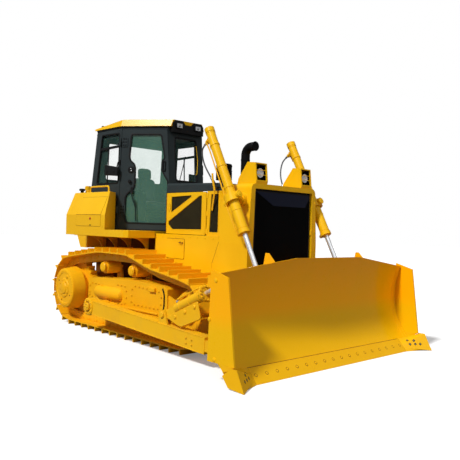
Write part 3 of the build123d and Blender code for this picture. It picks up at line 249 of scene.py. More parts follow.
def block(low, high, bevel=4.0):
    # Box between two corners with bevelled edges
    low, high = np.asarray(low, float), np.asarray(high, float)
    foot = [(low[0], low[1]), (high[0], low[1]), (high[0], high[1]), (low[0], high[1])]
    foot = rounded(foot, bevel, 1)
    levels = [(low[2], bevel), (low[2] + bevel, 0), (high[2] - bevel, 0), (high[2], bevel)]
    stack = np.stack([np.column_stack([inset(foot, b), np.full(len(foot), z)]) for z, b in levels])
    return skin(stack)


made = []


def makePiece(name, shape, material, body="machine", slot=None, sharp=32.0):
    # Writes the whole arrays into a mesh, in metres, and rides it on its body
    points, quads, tris = shape
    points = points / 1000 + [axleX, 0, 0]
    mesh = bpy.data.meshes.new(name)
    mesh.vertices.add(len(points))
    mesh.vertices.foreach_set("co", points.astype(np.float32).ravel())
    mesh.loops.add(quads.size + tris.size)
    mesh.loops.foreach_set("vertex_index", np.concatenate([quads.ravel(), tris.ravel()]).astype(np.int32))
    mesh.polygons.add(len(quads) + len(tris))
    sizes = np.concatenate([np.full(len(quads), 4), np.full(len(tris), 3)])
    mesh.polygons.foreach_set("loop_start", np.concatenate([[0], np.cumsum(sizes)[:-1]]).astype(np.int32))
    mesh.update(calc_edges=True)
    mesh.validate()
    mesh.shade_smooth()
    mesh.set_sharp_from_angle(angle=radians(sharp))
    piece = bpy.data.objects.new(name, mesh)
    scene.collection.objects.link(piece)
    piece.data.materials.append(material)
    if body:
        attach(piece, body)
    slot or slotOf[material.name]
    made.append(piece)
    return piece


hulls = {}


def seats(nodeName, starts, direction):
    # Where rays from the starts meet a CAD node, and the surface's normals there
    if nodeName not in hulls:
        mesh = nodes[nodeName].data
        co = np.zeros(len(mesh.vertices) * 3, np.float32)
        mesh.vertices.foreach_get("co", co)
        faces = np.zeros(len(mesh.polygons) * 3, np.int32)
        mesh.loops.foreach_get("vertex_index", faces)
        hulls[nodeName] = BVHTree.FromPolygons(co.reshape(-1, 3).tolist(), faces.reshape(-1, 3).tolist())
    hits = [hulls[nodeName].ray_cast(Vector(p / 1000 + [axleX, 0, 0]), Vector(direction))[:2]
            for p in np.atleast_2d(starts).astype(float)]
    hits = [h for h in hits if h[0] is not None]
    if not hits:
        print("  no seat on", nodeName)
        return np.zeros((0, 3)), np.zeros((0, 3))
    places = np.array([h[0] for h in hits]) * 1000 - [axleX * 1000, 0, 0]
    normals = np.array([h[1] for h in hits])
    facing = np.sign(-normals @ np.asarray(direction, float))[:, None]
    return places, normals * facing


def bolted(shape, nodeName, starts, direction):
    # Copies of a small shape set on a CAD node's surface
    places, normals = seats(nodeName, starts, direction)
    return copies(shape, places - normals * 0.5, normals)


# Materials


class Field:
    # A socket that can be used in sums, products, differences and quotients

    def __init__(self, finish, socket):
        self.finish, self.socket = finish, socket

    def __add__(self, other):
        return self.finish.maths("ADD", self, other)

    def __sub__(self, other):
        return self.finish.maths("SUBTRACT", self, other)

    def __mul__(self, other):
        return self.finish.maths("MULTIPLY", self, other)

    def __truediv__(self, other):
        return self.finish.maths("DIVIDE", self, other)

    def __rsub__(self, other):
        return self.finish.maths("SUBTRACT", other, self)

    def __rtruediv__(self, other):
        return self.finish.maths("DIVIDE", other, self)

    __radd__, __rmul__ = __add__, __mul__


class Finish:
    # One material: a Principled shader, and the nodes that feed it

    def __init__(self, name, colour, roughness, metallic=0.0, **fixed):
        self.material = bpy.data.materials.new(name)
        self.material.use_nodes = True
        self.tree = self.material.node_tree
        self.shader = next(n for n in self.tree.nodes if n.type == "BSDF_PRINCIPLED")
        self.give("Base Color", (*colour, 1.0))
        self.give("Roughness", roughness)
        self.give("Metallic", metallic)
        for key, value in fixed.items():
            self.give(key.replace("_", " "), value)
        self.spot = self.node("ShaderNodeTexCoord", output="Object")

    def put(self, socket, value):
        if isinstance(value, Field):
            self.tree.links.new(value.socket, socket)
        else:
            socket.default_value = value

    def give(self, name, value):
        self.put(self.shader.inputs[name], value)

    def node(self, kind, settings=None, inputs=None, output=0):
        # Any node: its settings first, then its sockets' values or links by name or number
        made = self.tree.nodes.new(kind)
        for key, value in (settings or {}).items():
            if key == "stops":
                ramp = made.color_ramp
                for i, (place, colour) in enumerate(value):
                    stop = ramp.elements[i] if i < 2 else ramp.elements.new(place)
                    stop.position, stop.color = place, colour
            else:
                setattr(made, key, value)
        for key, value in (inputs or {}).items():
            self.put(made.inputs[key], value)
        return Field(self, made.outputs[output])

    def maths(self, operation, a, b=0.0, clamp=False):
        return self.node("ShaderNodeMath", {"operation": operation, "use_clamp": clamp}, {0: a, 1: b})

    def noise(self, scale, detail=3.0, rough=0.5, at=None):
        return self.node("ShaderNodeTexNoise", None,
                         {"Vector": at or self.spot, "Scale": scale, "Detail": detail, "Roughness": rough})

    def ramp(self, value, low, high):
        # 0 below low, 1 above high, smooth between
        return self.node("ShaderNodeMapRange", {"interpolation_type": "SMOOTHSTEP"},
                         {"Value": value, "From Min": low, "From Max": high})

    def mix(self, a, b, share):
        a, b = [v if isinstance(v, Field) else (*v, 1.0) for v in (a, b)]
        return self.node("ShaderNodeMix", {"data_type": "RGBA"}, {0: share, 6: a, 7: b}, output=2)

    def axis(self, name, source=None):
        return self.node("ShaderNodeSeparateXYZ", None, {0: source or self.spot}, output=name)

    def bump(self, height, strength, distance=0.001, under=None):
        inputs = {"Height": height, "Strength": strength, "Distance": distance}
        if under:
            inputs["Normal"] = under
        return self.node("ShaderNodeBump", None, inputs, output="Normal")


paintLook = {
    "yellow": (0.85, 0.46, 0.003),
    "sunned": (0.88, 0.50, 0.005),
    "earth": (0.30, 0.17, 0.075),
    "peel": 0.05,  # strength of the paint's orange peel
}


def enamel(name, colour, other, roughness, dirt=0.0, low=0.0, coat=0.25, grain=0.0, gloss=0.14):
    # Sprayed enamel: two shades in soft clouds, faint orange peel, dust that thins out with height
    f = Finish(name, colour, roughness, Coat_Weight=coat, Coat_Roughness=0.15, Specular_IOR_Level=gloss)
    clouds = f.ramp(f.noise(1.7, 4.0, 0.55), 0.35, 0.68)
    shade = f.mix(colour, other, clouds * 0.8)
    fine = f.noise(38.0, 5.0, 0.6)
    if dirt:
        up = f.axis("Z", f.node("ShaderNodeNewGeometry", output="Normal"))
        settled = f.ramp(up, 0.35, 1.0) * 0.6 + 0.25
        depth = 1.0 - f.ramp(f.axis("Z"), low, low + 1.1)
        patches = f.ramp(f.noise(6.0, 6.0, 0.62) + fine * 0.2, 0.50, 0.78)
        mask = patches * settled * (depth * 0.75 + 0.25) * dirt
        shade = f.mix(shade, paintLook["earth"], mask)
        f.give("Roughness", roughness + mask * 0.35 + fine * 0.08)
    else:
        f.give("Roughness", roughness + fine * 0.08)
    f.give("Base Color", shade)
    peel = f.bump(f.noise(260.0, 2.0), paintLook["peel"], 0.0006)
    if grain:
        peel = f.bump(f.noise(70.0, 6.0, 0.7), grain, 0.002, peel)
    f.give("Normal", peel)
    return f.material


def paintedReflectionEnamel(name, upper, lower, span):
    # Enamel with a painted reflection: deeper orange high up and paler low down, two shades that change over
    # a span of heights
    f = Finish(name, upper, 0.26, Coat_Weight=0.25, Coat_Roughness=0.12, Specular_IOR_Level=0.06)
    wave = f.noise(1.3, 3.0, 0.5) * 0.10 - 0.05
    share = f.ramp(f.axis("Z") + wave, *span)
    mottle = f.ramp(f.noise(2.6, 4.0, 0.55), 0.35, 0.7)
    f.give("Base Color", f.mix(f.mix(lower, upper, share), lower, mottle * 0.22))
    f.give("Roughness", f.noise(24.0, 5.0, 0.6) * 0.14 + 0.22)
    f.give("Normal", f.bump(f.noise(260.0, 2.0), 0.05, 0.0006, f.bump(f.noise(5.0, 2.0), 0.10, 0.004)))
    return f.material


def moulded(name, colour, other, roughness, grain, scale=240.0):
    # Moulded plastic or rubber: a fine pebble grain and soft patches of shine
    f = Finish(name, colour, roughness, Specular_IOR_Level=0.2)
    pebbles = f.node("ShaderNodeTexVoronoi", None, {"Vector": f.spot, "Scale": scale}, output="Distance")
    f.give("Base Color", f.mix(colour, other, f.ramp(f.noise(9.0, 5.0), 0.4, 0.75)))
    f.give("Roughness", roughness + f.noise(14.0, 4.0) * 0.14 - 0.07)
    f.give("Normal", f.bump(pebbles, grain, 0.0008))
    return f.material


def metal(name, colour, other, roughness, brushed=0.0, metallic=1.0):
    # Bare metal: fine turning marks along its length and small changes of tone
    f = Finish(name, colour, roughness, metallic)
    f.give("Base Color", f.mix(colour, other, f.ramp(f.noise(12.0, 5.0, 0.6), 0.45, 0.7)))
    f.give("Roughness", roughness + f.noise(30.0, 4.0) * 0.10)
    if brushed:
        f.give("Normal", f.bump(f.noise(420.0, 2.0), brushed, 0.0003))
    return f.material


def tintedGlass(name, colour, cover):
    # Tinted pane: its alpha says how much of the view behind it the tint hides
    f = Finish(name, colour, 0.04, Alpha=cover, Coat_Weight=0.6, Coat_Roughness=0.02)
    haze = f.ramp(f.noise(3.0, 4.0), 0.35, 0.8)
    f.give("Roughness", haze * 0.05 + 0.03)
    f.give("Alpha", haze * 0.03 + cover)
    return f.material


def wovenCloth(name, colour, thread):
    # Seat cloth: two crossing waves make the weave
    f = Finish(name, colour, 0.9, Sheen_Weight=0.25, Sheen_Roughness=0.5)
    across = f.node("ShaderNodeTexWave", {"bands_direction": "Y"}, {"Vector": f.spot, "Scale": 120.0})
    along = f.node("ShaderNodeTexWave", {"bands_direction": "Z"}, {"Vector": f.spot, "Scale": 120.0})
    weave = across * along
    f.give("Base Color", f.mix(colour, thread, weave * 0.6 + f.noise(20.0) * 0.2))
    f.give("Normal", f.bump(weave, 0.35, 0.0012))
    return f.material


yellow = enamel("yellowEnamel", paintLook["yellow"], paintLook["sunned"], 0.30, coat=0.10)
# The undercarriage's yellow is a little more orange and darker than the body's: partly painted shade, with
# dust low down
yellowLow = enamel("yellowUndercarriage", (0.86, 0.41, 0.003), (0.88, 0.46, 0.005), 0.40, dirt=0.22, low=0.0,
                   coat=0.04, grain=0.12)
yellowBlade = enamel("yellowBlade", (0.86, 0.45, 0.003), (0.88, 0.48, 0.005), 0.30, coat=0.10,
                     grain=0.05)
# The blade skin's change from deep orange above to paler yellow below is a painted reflection
skinReflectionPaint = paintedReflectionEnamel("bladeSkinPaintedReflection", (1.0, 0.43, 0.001), (0.86, 0.465, 0.002), (0.50, 0.72))
yellowArm = enamel("yellowPushArm", (0.85, 0.44, 0.006), (0.88, 0.48, 0.008), 0.38, dirt=0.28,
                   low=0.0, coat=0.04, grain=0.08)
slate = enamel("slateEnamel", (0.022, 0.030, 0.032), (0.030, 0.040, 0.042), 0.38, coat=0.05)
black = enamel("blackEnamel", (0.0018, 0.0020, 0.0022), (0.003, 0.003, 0.0035), 0.34, coat=0.02, gloss=0.08)
blackHot = enamel("exhaustBlack", (0.003, 0.003, 0.0035), (0.006, 0.0055, 0.005),
                  0.45, coat=0.0, grain=0.1, gloss=0.1)
rubber = moulded("blackRubber", (0.004, 0.004, 0.0045), (0.008, 0.008, 0.008), 0.62, 0.25)
greyHose = moulded("greyHose", (0.10, 0.11, 0.12), (0.14, 0.15, 0.16), 0.55, 0.25)
plastic = moulded("blackPlastic", (0.003, 0.003, 0.0035), (0.006, 0.006, 0.0065), 0.48, 0.35)
redPlastic = moulded("redPlastic", (0.42, 0.02, 0.012), (0.48, 0.03, 0.015), 0.42, 0.2)
# Hull, belly guard and equalizer bar get a dark red-brown that is painted shade for the gaps behind the
# rollers, with dust patches on it
hullShadeAndDirt = enamel("hullShadeAndDirt", (0.16, 0.045, 0.003), (0.10, 0.030, 0.004),
                   0.6, dirt=0.3, coat=0.0, gloss=0.05)
chrome = metal("hardChrome", (0.88, 0.90, 0.93), (0.82, 0.84, 0.87), 0.20, 0.02, metallic=0.75)
zinc = metal("zincPlate", (0.55, 0.55, 0.54), (0.45, 0.45, 0.45), 0.30, 0.08)
steel = metal("wornSteel", (0.30, 0.28, 0.26), (0.20, 0.18, 0.16), 0.42, 0.15)
seamShade = enamel("seamShadow", (0.20, 0.055, 0.006), (0.26, 0.08, 0.008), 0.6, coat=0.0)
screenWire = enamel("screenWire", (0.045, 0.038, 0.016), (0.065, 0.052, 0.020), 0.6, coat=0.0)
# Near-black painted shade: behind the screens, and in holes, slots and sockets
screenBack = enamel("paintedShadeBlack", (0.016, 0.013, 0.006), (0.026, 0.020, 0.009), 0.8, coat=0.0)
grilleWire = enamel("grilleWire", (0.0008, 0.0009, 0.0010), (0.0016, 0.0017, 0.0020),
                    0.42, coat=0.0, gloss=0.04)
# Dark navy on the grille's upper shroud: a painted reflection of the sky on glossy black
grilleSkyReflection = enamel("grilleShroud", (0.0045, 0.0070, 0.022), (0.006, 0.009, 0.030), 0.34, coat=0.05)
lampSilver = metal("lampReflector", (0.86, 0.88, 0.90), (0.78, 0.80, 0.82), 0.25, 0.0, metallic=0.35)
glass = tintedGlass("cabGlass", (0.26, 0.58, 0.48), 0.03)
doorGlass = tintedGlass("doorGlass", (0.24, 0.56, 0.42), 0.13)
lens = tintedGlass("lampLens", (0.86, 0.88, 0.90), 0.22)
redLens = tintedGlass("redLens", (0.55, 0.03, 0.01), 0.9)
cloth = wovenCloth("seatCloth", (0.014, 0.015, 0.018), (0.045, 0.047, 0.052))

# Each finish with its nodes, and then with the nodes that come in pairs, left and right
nodeFinish = (
    (yellow, "cab_roof fuel_tank grab_rails hood_lamps platform radiator_guard",
     "engine_door lift_barrel lift_yoke side_box side_panel"),
    (yellowArm, "blade_brace tilt_barrel", "push_arm"),
    (yellowBlade, "cutting_edge end_bits", ""),
    (yellowLow, "carrier_rollers drawbar track_rollers", "idler sprocket track track_frame"),
    (skinReflectionPaint, "moldboard", ""),
    (hullShadeAndDirt, "belly_guard equalizer_bar main_frame", ""),
    (slate, "cab_frame hood", "cab_door"),
    (black, "air_precleaner engine_block front_grille", ""),
    (blackHot, "exhaust_stack", ""),
    (plastic, "cab_visor controls", ""),
    (rubber, "", "lift_hose"),
    (cloth, "operator_seat", ""),
    (chrome, "tilt_rod", "lift_rod"),
    (steel, "", "trunnion_ball"),
    (lampSilver, "roof_lamps", ""),
    (glass, "cab_glass", ""),
    (doorGlass, "", "door_glass"),
)
finished = 0
for finish, single, paired in nodeFinish:
    for name in single.split() + [name + side for name in paired.split() for side in ("_left", "_right")]:
        nodes[name].data.materials.clear()
        nodes[name].data.materials.append(finish)
        finished += 1
slotGroups = {
    "black_paint": (black, blackHot, grilleSkyReflection, grilleWire, plastic, screenBack, screenWire, seamShade),
    "chrome": (lampSilver, zinc),
    "grey_paint": (slate,),
    "lamp_glass": (lens, redLens),
    "rubber": (greyHose, redPlastic, rubber),
    "steel": (steel,),
    "upholstery": (cloth,),
    "yellow_paint": (skinReflectionPaint, yellow, yellowArm, yellowBlade, yellowLow),
}
slotOf = {m.name: slot for slot, group in slotGroups.items() for m in group}
print("finishes given to", finished, "nodes")


# Camera, light and floor
cameraSet = {
    "place": (6.6647, -5.5545, 1.5674),
    "heading": 135.755,  # degrees from +X towards +Y
    "pitch": -1.158,
    "roll": 1.764,
    "lens": 46.35,
    "shift": (-0.0574, 0.0240),
}


def makeCamera(c):
    heading, pitch, roll = (radians(c[k]) for k in ("heading", "pitch", "roll"))
    ahead = np.array([cos(pitch) * cos(heading), cos(pitch) * sin(heading), sin(pitch)])
    right = np.array([sin(heading), -cos(heading), 0.0])
    up = np.cross(right, ahead)
    right, up = right * cos(roll) + up * sin(roll), -right * sin(roll) + up * cos(roll)
    data = bpy.data.cameras.new("camera")
    data.lens, data.sensor_width = c["lens"], 36.0
    data.shift_x, data.shift_y = c["shift"]
    data.clip_end = 200.0
    camera = bpy.data.objects.new("camera", data)
    camera.matrix_world = Matrix([[*row, p] for row, p in zip(np.stack([right, up, -ahead], 1), c["place"])]
                                 + [[0, 0, 0, 1]])
    scene.collection.objects.link(camera)
    scene.camera = camera


lightSet = {
    "sky": 0.20,  # strength of the world on the object
    "shine": 0.10,  # how much of the white surroundings shows in reflections
    "sun": 3.2,
    "sunFrom": (0.06, -0.75, 0.80),
    "sunSpread": 8.0,
    "fill": 0.62,
    "fillFrom": (1.0, -0.2, 0.75),
    "fillSpread": 60.0,
    "floorPale": 0.93,  # the floor as the camera sees it
    "floorBounce": 0.24,  # the floor as the object sees it
    "floorLift": 0.2,
}


def makeLights(c):
    world = bpy.data.worlds.new("studio")
    scene.world = world
    world.use_nodes = True
    tree = world.node_tree
    back = next(n for n in tree.nodes if n.type == "BACKGROUND")
    rays = tree.nodes.new("ShaderNodeLightPath").outputs

    def maths(operation, a, b):
        step = tree.nodes.new("ShaderNodeMath")
        step.operation = operation
        for socket, value in zip(step.inputs, (a, b)):
            if isinstance(value, float):
                socket.default_value = value
            else:
                tree.links.new(value, socket)
        return step.outputs[0]

    straight = maths("MAXIMUM", rays["Is Camera Ray"], rays["Is Transmission Ray"])
    span = tree.nodes.new("ShaderNodeMapRange")
    span.inputs["To Min"].default_value = c["sky"]
    span.inputs["To Max"].default_value = 1.0
    tree.links.new(maths("MAXIMUM", straight, maths("MULTIPLY", rays["Is Glossy Ray"], c["shine"])),
                   span.inputs["Value"])
    tree.links.new(span.outputs[0], back.inputs["Strength"])
    back.inputs["Color"].default_value = (1.0, 1.0, 1.0, 1.0)
    for name, energy, source, spread in (("sun", c["sun"], c["sunFrom"], c["sunSpread"]),
                                         ("fill", c["fill"], c["fillFrom"], c["fillSpread"])):
        data = bpy.data.lights.new(name, "SUN")
        data.energy, data.angle = energy, radians(spread)
        lamp = bpy.data.objects.new(name, data)
        lamp.rotation_mode = "QUATERNION"
        lamp.rotation_quaternion = Vector(source).to_track_quat("Z", "Y")
        scene.collection.objects.link(lamp)


def makeFloor(c):
    # A wide level sheet: x and y on a grid of two parameters, z the ground
    a = np.linspace(-60.0, 60.0, 5)
    x, y = np.meshgrid(a, a, indexing="ij")
    points = np.stack([x.ravel(), y.ravel(), np.full(x.size, -0.002)], 1)
    i, j = np.meshgrid(np.arange(4), np.arange(4), indexing="ij")
    k = (i * 5 + j).ravel()
    mesh = bpy.data.meshes.new("floor")
    mesh.from_pydata(points.tolist(), [], np.stack([k, k + 5, k + 6, k + 1], 1).tolist())
    mesh.update()
    floor = bpy.data.objects.new("floor", mesh)
    scene.collection.objects.link(floor)
    pale, bounce = [[c[k]] * 3 for k in ("floorPale", "floorBounce")]
    f = Finish("paleFloor", pale, 0.9, Specular_IOR_Level=0.0)
    rays = f.node("ShaderNodeLightPath", output="Is Camera Ray")
    f.give("Base Color", f.mix(bounce, pale, rays))
    f.give("Emission Color", f.mix((0, 0, 0), (1, 1, 1), rays * c["floorLift"]))
    f.give("Emission Strength", 1.0)
    mesh.materials.append(f.material)


makeCamera(cameraSet)
makeLights(lightSet)
makeFloor(lightSet)
scene.view_settings.view_transform = "Standard"
print("camera, lights and floor made")


# Crawler
crawler = {
    "gauge": 1880.0, "pitch": 203.5, "shoes": 41, "tip": 125.0, "teeth": 27, "idlerRadius": 365.0,
    "idlerX": 2905.0, "over": 173.0, "carriers": ((866.0, 940.0), (1626.0, 937.0)), "sag": (2200.0, 958.0),
    "shoeFace": 62.0, "railFace": 105.0, "railOffset": 85.0, "frameFace": 1100.0, "guardFace": 1096.0,
    "rollerHeight": 288.3, "rollers": tuple(505.0 + 352.0 * i for i in range(6)), "driveFace": 1250.0,
    "boltRows": (2.0, 62.0), "linkReach": 92.0, "linkWaist": 38.0, "linkSwell": 14.0, "carrierCap": 146.0,
    "idlerCap": 156.0, "guardHoles": (176.0, 345.0), "guardBolts": (62, 20),
}
driveDisc = {
    "profile": [(298, 0), (298, 9), (290, 13), (236, 14), (228, 7), (150, 9), (142, 20), (96, 24), (88, 34),
                (52, 42), (20, 44)],
    "bolts": [(38, 264, 0.0, 13, hexHead(8, 8)), (8, 118, 0.2, 21, hexHead(11, 9)),
              (2, 196, 1.1, 8, hexHead(17, 16))],
}
trackFrame = {
    "covers": [[(505, 462), (900, 462), (900, 700), (600, 712), (505, 680)],
               [(1235, 440), (1500, 440), (1560, 500), (1560, 730), (1290, 742), (1235, 690)],
               [(1655, 470), (2300, 470), (2390, 540), (2390, 690), (2320, 742), (1740, 762), (1655, 700)]],
    "boltSpacing": 92.0,
    "bulge": [(10, 0), (52, 8), (82, 34), (96, 84), (100, 150), (100, 600), (96, 660), (82, 708), (52, 732),
              (10, 740)],
    "bulgeFoot": (700, 1072, 574),
    "ribs": [((600, 408), (2300, 432), 16, 4), ((2120, 700), (2250, 760), 34, 7)],  # low, high, out, bevel
    "seal": [(2422, 470), (2440, 560), (2440, 690), (2400, 764)],
}
pushArm = {
    "seat": (1050.0, 400.0),
    "face": 1410.0,
    "capFace": 1432.0,
    "weldEnds": ((1150.0, 395.0), (3600.0, 263.0)),
    "weldHalf": 91.0,
    "patch": [(3290, 225), (3440, 217), (3440, 320), (3290, 328)],
    "patchBolts": [(3312, 246), (3418, 240), (3312, 306), (3418, 298)],
}
driveRadius = crawler["pitch"] * crawler["teeth"] / 2 / (2 * pi)
drive = np.array([0.0, crawler["tip"] + driveRadius])


def touch(point, centre, radius, turn):
    # Angle at which a line from the point touches the circle
    d = np.asarray(point) - centre
    return np.arctan2(d[1], d[0]) + turn * np.arccos(radius / np.hypot(*d))


def arc(centre, radius, start, stop, count=60):
    a = np.linspace(start, stop, count)
    return np.stack([centre[0] + radius * np.cos(a), centre[1] + radius * np.sin(a)], 1)


def chainLine(stretch):
    # Closed run of the link pins: level foot, idler's arc, sag, carriers, sprocket's arc
    c = crawler
    idler = np.array([c["idlerX"] + stretch, c["tip"] + c["idlerRadius"]])
    sag = np.array(c["sag"]) + [stretch / 2, 0]
    front, rear = [np.array(c["carriers"][i]) + [0, c["over"]] for i in (1, 0)]
    idlerTop = touch(sag, idler, c["idlerRadius"], -1)
    driveTop = touch(rear, drive, driveRadius, 1)
    return np.vstack([[[0, c["tip"]]], arc(idler, c["idlerRadius"], -pi / 2, idlerTop), [sag, front, rear],
                      arc(drive, driveRadius, driveTop, 1.5 * pi)]), idler


def runLength(line):
    return np.concatenate([[0], np.cumsum(np.linalg.norm(np.diff(line, axis=0), axis=1))])


slack = (crawler["shoes"] * crawler["pitch"] - runLength(chainLine(0.0)[0])[-1]) / 2
chain, idlerAxis = chainLine(slack)
lengths = runLength(chain)
marks = (np.arange(crawler["shoes"]) + 0.1) / crawler["shoes"] * lengths[-1]
pins = np.stack([np.interp(marks, lengths, chain[:, i]) for i in (0, 1)], 1)
after = np.roll(pins, -1, 0)
middles, alongs = (pins + after) / 2, unit(after - pins)
outs = np.stack([alongs[:, 1], -alongs[:, 0]], 1)


def flat(xz, y):
    # Points of the side plane at a distance y from the middle
    xz = np.atleast_2d(xz)
    return np.column_stack([xz[:, 0], np.broadcast_to(y, len(xz)), xz[:, 1]])


def both(make, *args):
    return merge(make(-1, *args), make(1, *args))


def ringOf(count, radius, centre, start=0.0):
    # Points evenly round a centre in the side plane
    return np.asarray(centre) + circle(count, start) * radius


def shoeBolts(sign):
    head = hexHead(13, 9, washer=False)
    rows = []
    for ahead in crawler["boltRows"]:
        foot = middles + alongs * ahead + outs * (crawler["shoeFace"] - 0.5)
        for off in (-crawler["railOffset"], crawler["railOffset"]):
            rows.append(copies(head, flat(foot, sign * crawler["gauge"] / 2 + off), flat(outs, 0)))
    return merge(*rows)


def chainLinks(sign):
    # Bow-tie plates on the rails' faces with a round pin end at each joint
    t = np.linspace(0, 2 * pi, 20, endpoint=False)
    longest = crawler["linkReach"]
    reach = longest * np.sign(np.cos(t)) * np.abs(np.cos(t)) ** 0.7
    tall = np.sin(t) * (crawler["linkWaist"] + crawler["linkSwell"] * (np.abs(reach) / longest) ** 2)
    levels = [(0, 1.0), (3.0, 1.0), (5.0, 0.94)]
    end = skin(np.stack([np.column_stack([circle(12) * r, np.full(12, h)])
                         for r, h in ((24, 0), (24, 8), (19, 11), (10, 11), (8, 7))]))
    parts = []
    for face in (-1, 1):
        y = sign * crawler["gauge"] / 2 + face * crawler["railFace"]
        stack = np.stack([np.einsum("k,nj->nkj", reach * s, alongs)
                          - np.einsum("k,nj->nkj", tall * s + 6, outs) + middles[:, None]
                          for _, s in levels], 1)
        for ring in stack:
            parts.append(skin(np.stack([flat(p, y + face * h) for p, (h, _) in zip(ring, levels)])))
        parts.append(copies(end, flat(pins, y - face * 0.5), (0, face, 0)))
    return merge(*parts)


def driveCover(sign):
    y = sign * (crawler["driveFace"] - 1)
    out = (0, sign, 0)
    disc = turned(driveDisc["profile"], (drive[0], y, drive[1]), out, 72)
    return merge(disc, *[copies(head, flat(ringOf(count, radius, drive, start), y + sign * height), out)
                         for count, radius, start, height, head in driveDisc["bolts"]])


def driveMarks(sign):
    # Two dark marks of painted shade standing for notches in the cover's rim
    y = sign * (crawler["driveFace"] + 7)
    box = [(-16, -9), (16, -9), (16, 9), (-16, 9)]
    places = ringOf(2, 200, drive, 2.6)
    return merge(*[plate(box, 3, (p[0], y, p[1]), (sign, 0, 0), (0, 0, 1), 1, 5) for p in places])


def wheelCaps(sign):
    # Domed caps on the carrier rollers and the idler, and the rollers' shaft ends on the guards
    y = sign * crawler["gauge"] / 2
    out = (0, sign, 0)
    dome = [(72, 0), (72, 5), (64, 14), (44, 20), (20, 22), (10, 21)]
    carrier, idler = y + sign * crawler["carrierCap"], y + sign * crawler["idlerCap"]
    parts = [turned(dome, (x, carrier, z), out, 36) for x, z in crawler["carriers"]]
    for x, z in crawler["carriers"]:
        parts.append(copies(hexHead(6, 6), flat(ringOf(5, 52, (x, z)), carrier + sign * 16), out))
    hub = (idlerAxis[0], idler, idlerAxis[1])
    parts.append(turned([(60, 0), (60, 8), (52, 14), (30, 16), (26, 22), (10, 23)], hub, out, 32))
    parts.append(copies(hexHead(8, 7), flat(ringOf(6, 42, idlerAxis), idler + sign * 14), out))
    shaft = turned([(42, 0), (42, 12), (34, 18), (18, 19), (14, 14)], sides=24)
    rows = flat([(x, crawler["rollerHeight"]) for x in crawler["rollers"]], sign * (crawler["guardFace"] - 1))
    parts.append(copies(shaft, rows, out))
    apart, up = crawler["guardBolts"]
    for shift in (-apart, apart):
        parts.append(copies(hexHead(11, 9), rows + [shift, 0, up], out))
    return merge(*parts)


def guardHoles(sign):
    # Dark discs of painted shade standing for the round openings along the roller guards between the shafts
    ahead, z = crawler["guardHoles"]
    gaps = [(x + ahead, z) for x in crawler["rollers"][:-1]]
    rim = turned([(30, 0), (30, 1.5), (24, 1.6)], sides=24)
    return copies(rim, flat(gaps, sign * (crawler["guardFace"] - 0.3)), (0, sign, 0))


def frameCovers(sign):
    # Bolted covers, the bulge over the recoil spring and a rib along each track frame
    y = sign * (crawler["frameFace"] - 1)
    u, v = (sign, 0, 0), (0, 0, 1)
    parts = []
    for outline in trackFrame["covers"]:
        outline = np.array(outline, float)
        parts.append(plate(outline * [sign, 1], 9, (0, y, 0), u, v, 3, 22))
        ring = rounded(inset(outline, 20), 30, 3)
        steps = runLength(np.vstack([ring, ring[:1]]))
        marks = np.arange(0, steps[-1], trackFrame["boltSpacing"])
        where = np.stack([np.interp(marks, steps, np.append(ring[:, i], ring[0, i])) for i in (0, 1)], 1)
        parts.append(copies(hexHead(9, 8), flat(where, y + sign * 8.5), (0, sign, 0)))
    x, out, z = trackFrame["bulgeFoot"]
    parts.append(turned(trackFrame["bulge"], (x, sign * out, z), (1, 0, 0), 48))
    for (x0, z0), (x1, z1), out, bevel in trackFrame["ribs"]:
        parts.append(block((x0, min(y, y + sign * out), z0), (x1, max(y, y + sign * out), z1), bevel))
    return merge(*parts)


def frameSeal(sign):
    path = flat(trackFrame["seal"], sign * (crawler["frameFace"] + 4))
    return sweep(bent(path, 30), [(-9, -4), (9, -4), (9, 6), (-9, 6)], (0, sign, 0))


def armFittings(sign):
    # Socket ring, weld seams and the small bolted plate on a push arm
    face, out = sign * pushArm["face"], (0, sign, 0)
    seat = np.array(pushArm["seat"])
    ring = [(122, 0), (122, 10), (112, 15), (76, 16), (70, 8), (66, 0)]
    parts = [turned(ring, flat(seat, face - sign)[0], out, 48),
             copies(hexHead(11, 10), flat(ringOf(10, 96, seat), face + sign * 14), out)]
    a, b = np.array(pushArm["weldEnds"])
    n = unit(np.array([-(b - a)[1], (b - a)[0]]))
    for edge in (-1, 1):
        path = flat(np.linspace(a, b, 12) + n * edge * pushArm["weldHalf"], face + sign * 0.5)
        parts.append(pipe(path, 4.5, (0, 1, 0), 6))
    patch = np.array(pushArm["patch"]) * [sign, 1]
    parts.append(plate(patch, 10, (0, face - sign, 0), (sign, 0, 0), (0, 0, 1), 2, 12))
    parts.append(copies(hexHead(8, 8), flat(pushArm["patchBolts"], face + sign * 8.5), out))
    return merge(*parts)


def trunnionCap(sign):
    out, face = (0, sign, 0), sign * pushArm["capFace"]
    profile = [(60, 0), (60, 8), (52, 14), (22, 15), (18, 20), (8, 21)]
    return merge(turned(profile, flat(pushArm["seat"], face)[0], out, 32),
                 copies(hexHead(8, 7), flat(ringOf(6, 40, pushArm["seat"]), face + sign * 14), out))


makePiece("shoeBolts", both(shoeBolts), yellowLow)
makePiece("chainLinks", both(chainLinks), yellowLow)
makePiece("finalDriveCovers", both(driveCover), yellowLow)
makePiece("finalDriveNotches", both(driveMarks), seamShade, slot="steel")
makePiece("wheelCaps", both(wheelCaps), yellowLow)
makePiece("rollerGuardHoles", both(guardHoles), screenBack)
makePiece("trackFrameCovers", both(frameCovers), yellowLow)
makePiece("trackFrameSeals", both(frameSeal), rubber)
makePiece("armFittingsRight", armFittings(-1), yellowArm, "right_arm")
makePiece("armFittingsLeft", armFittings(1), yellowArm, "blade")
makePiece("trunnionCaps", both(trunnionCap), yellowArm)
print("crawler fitted")


# Wires, plates on faces


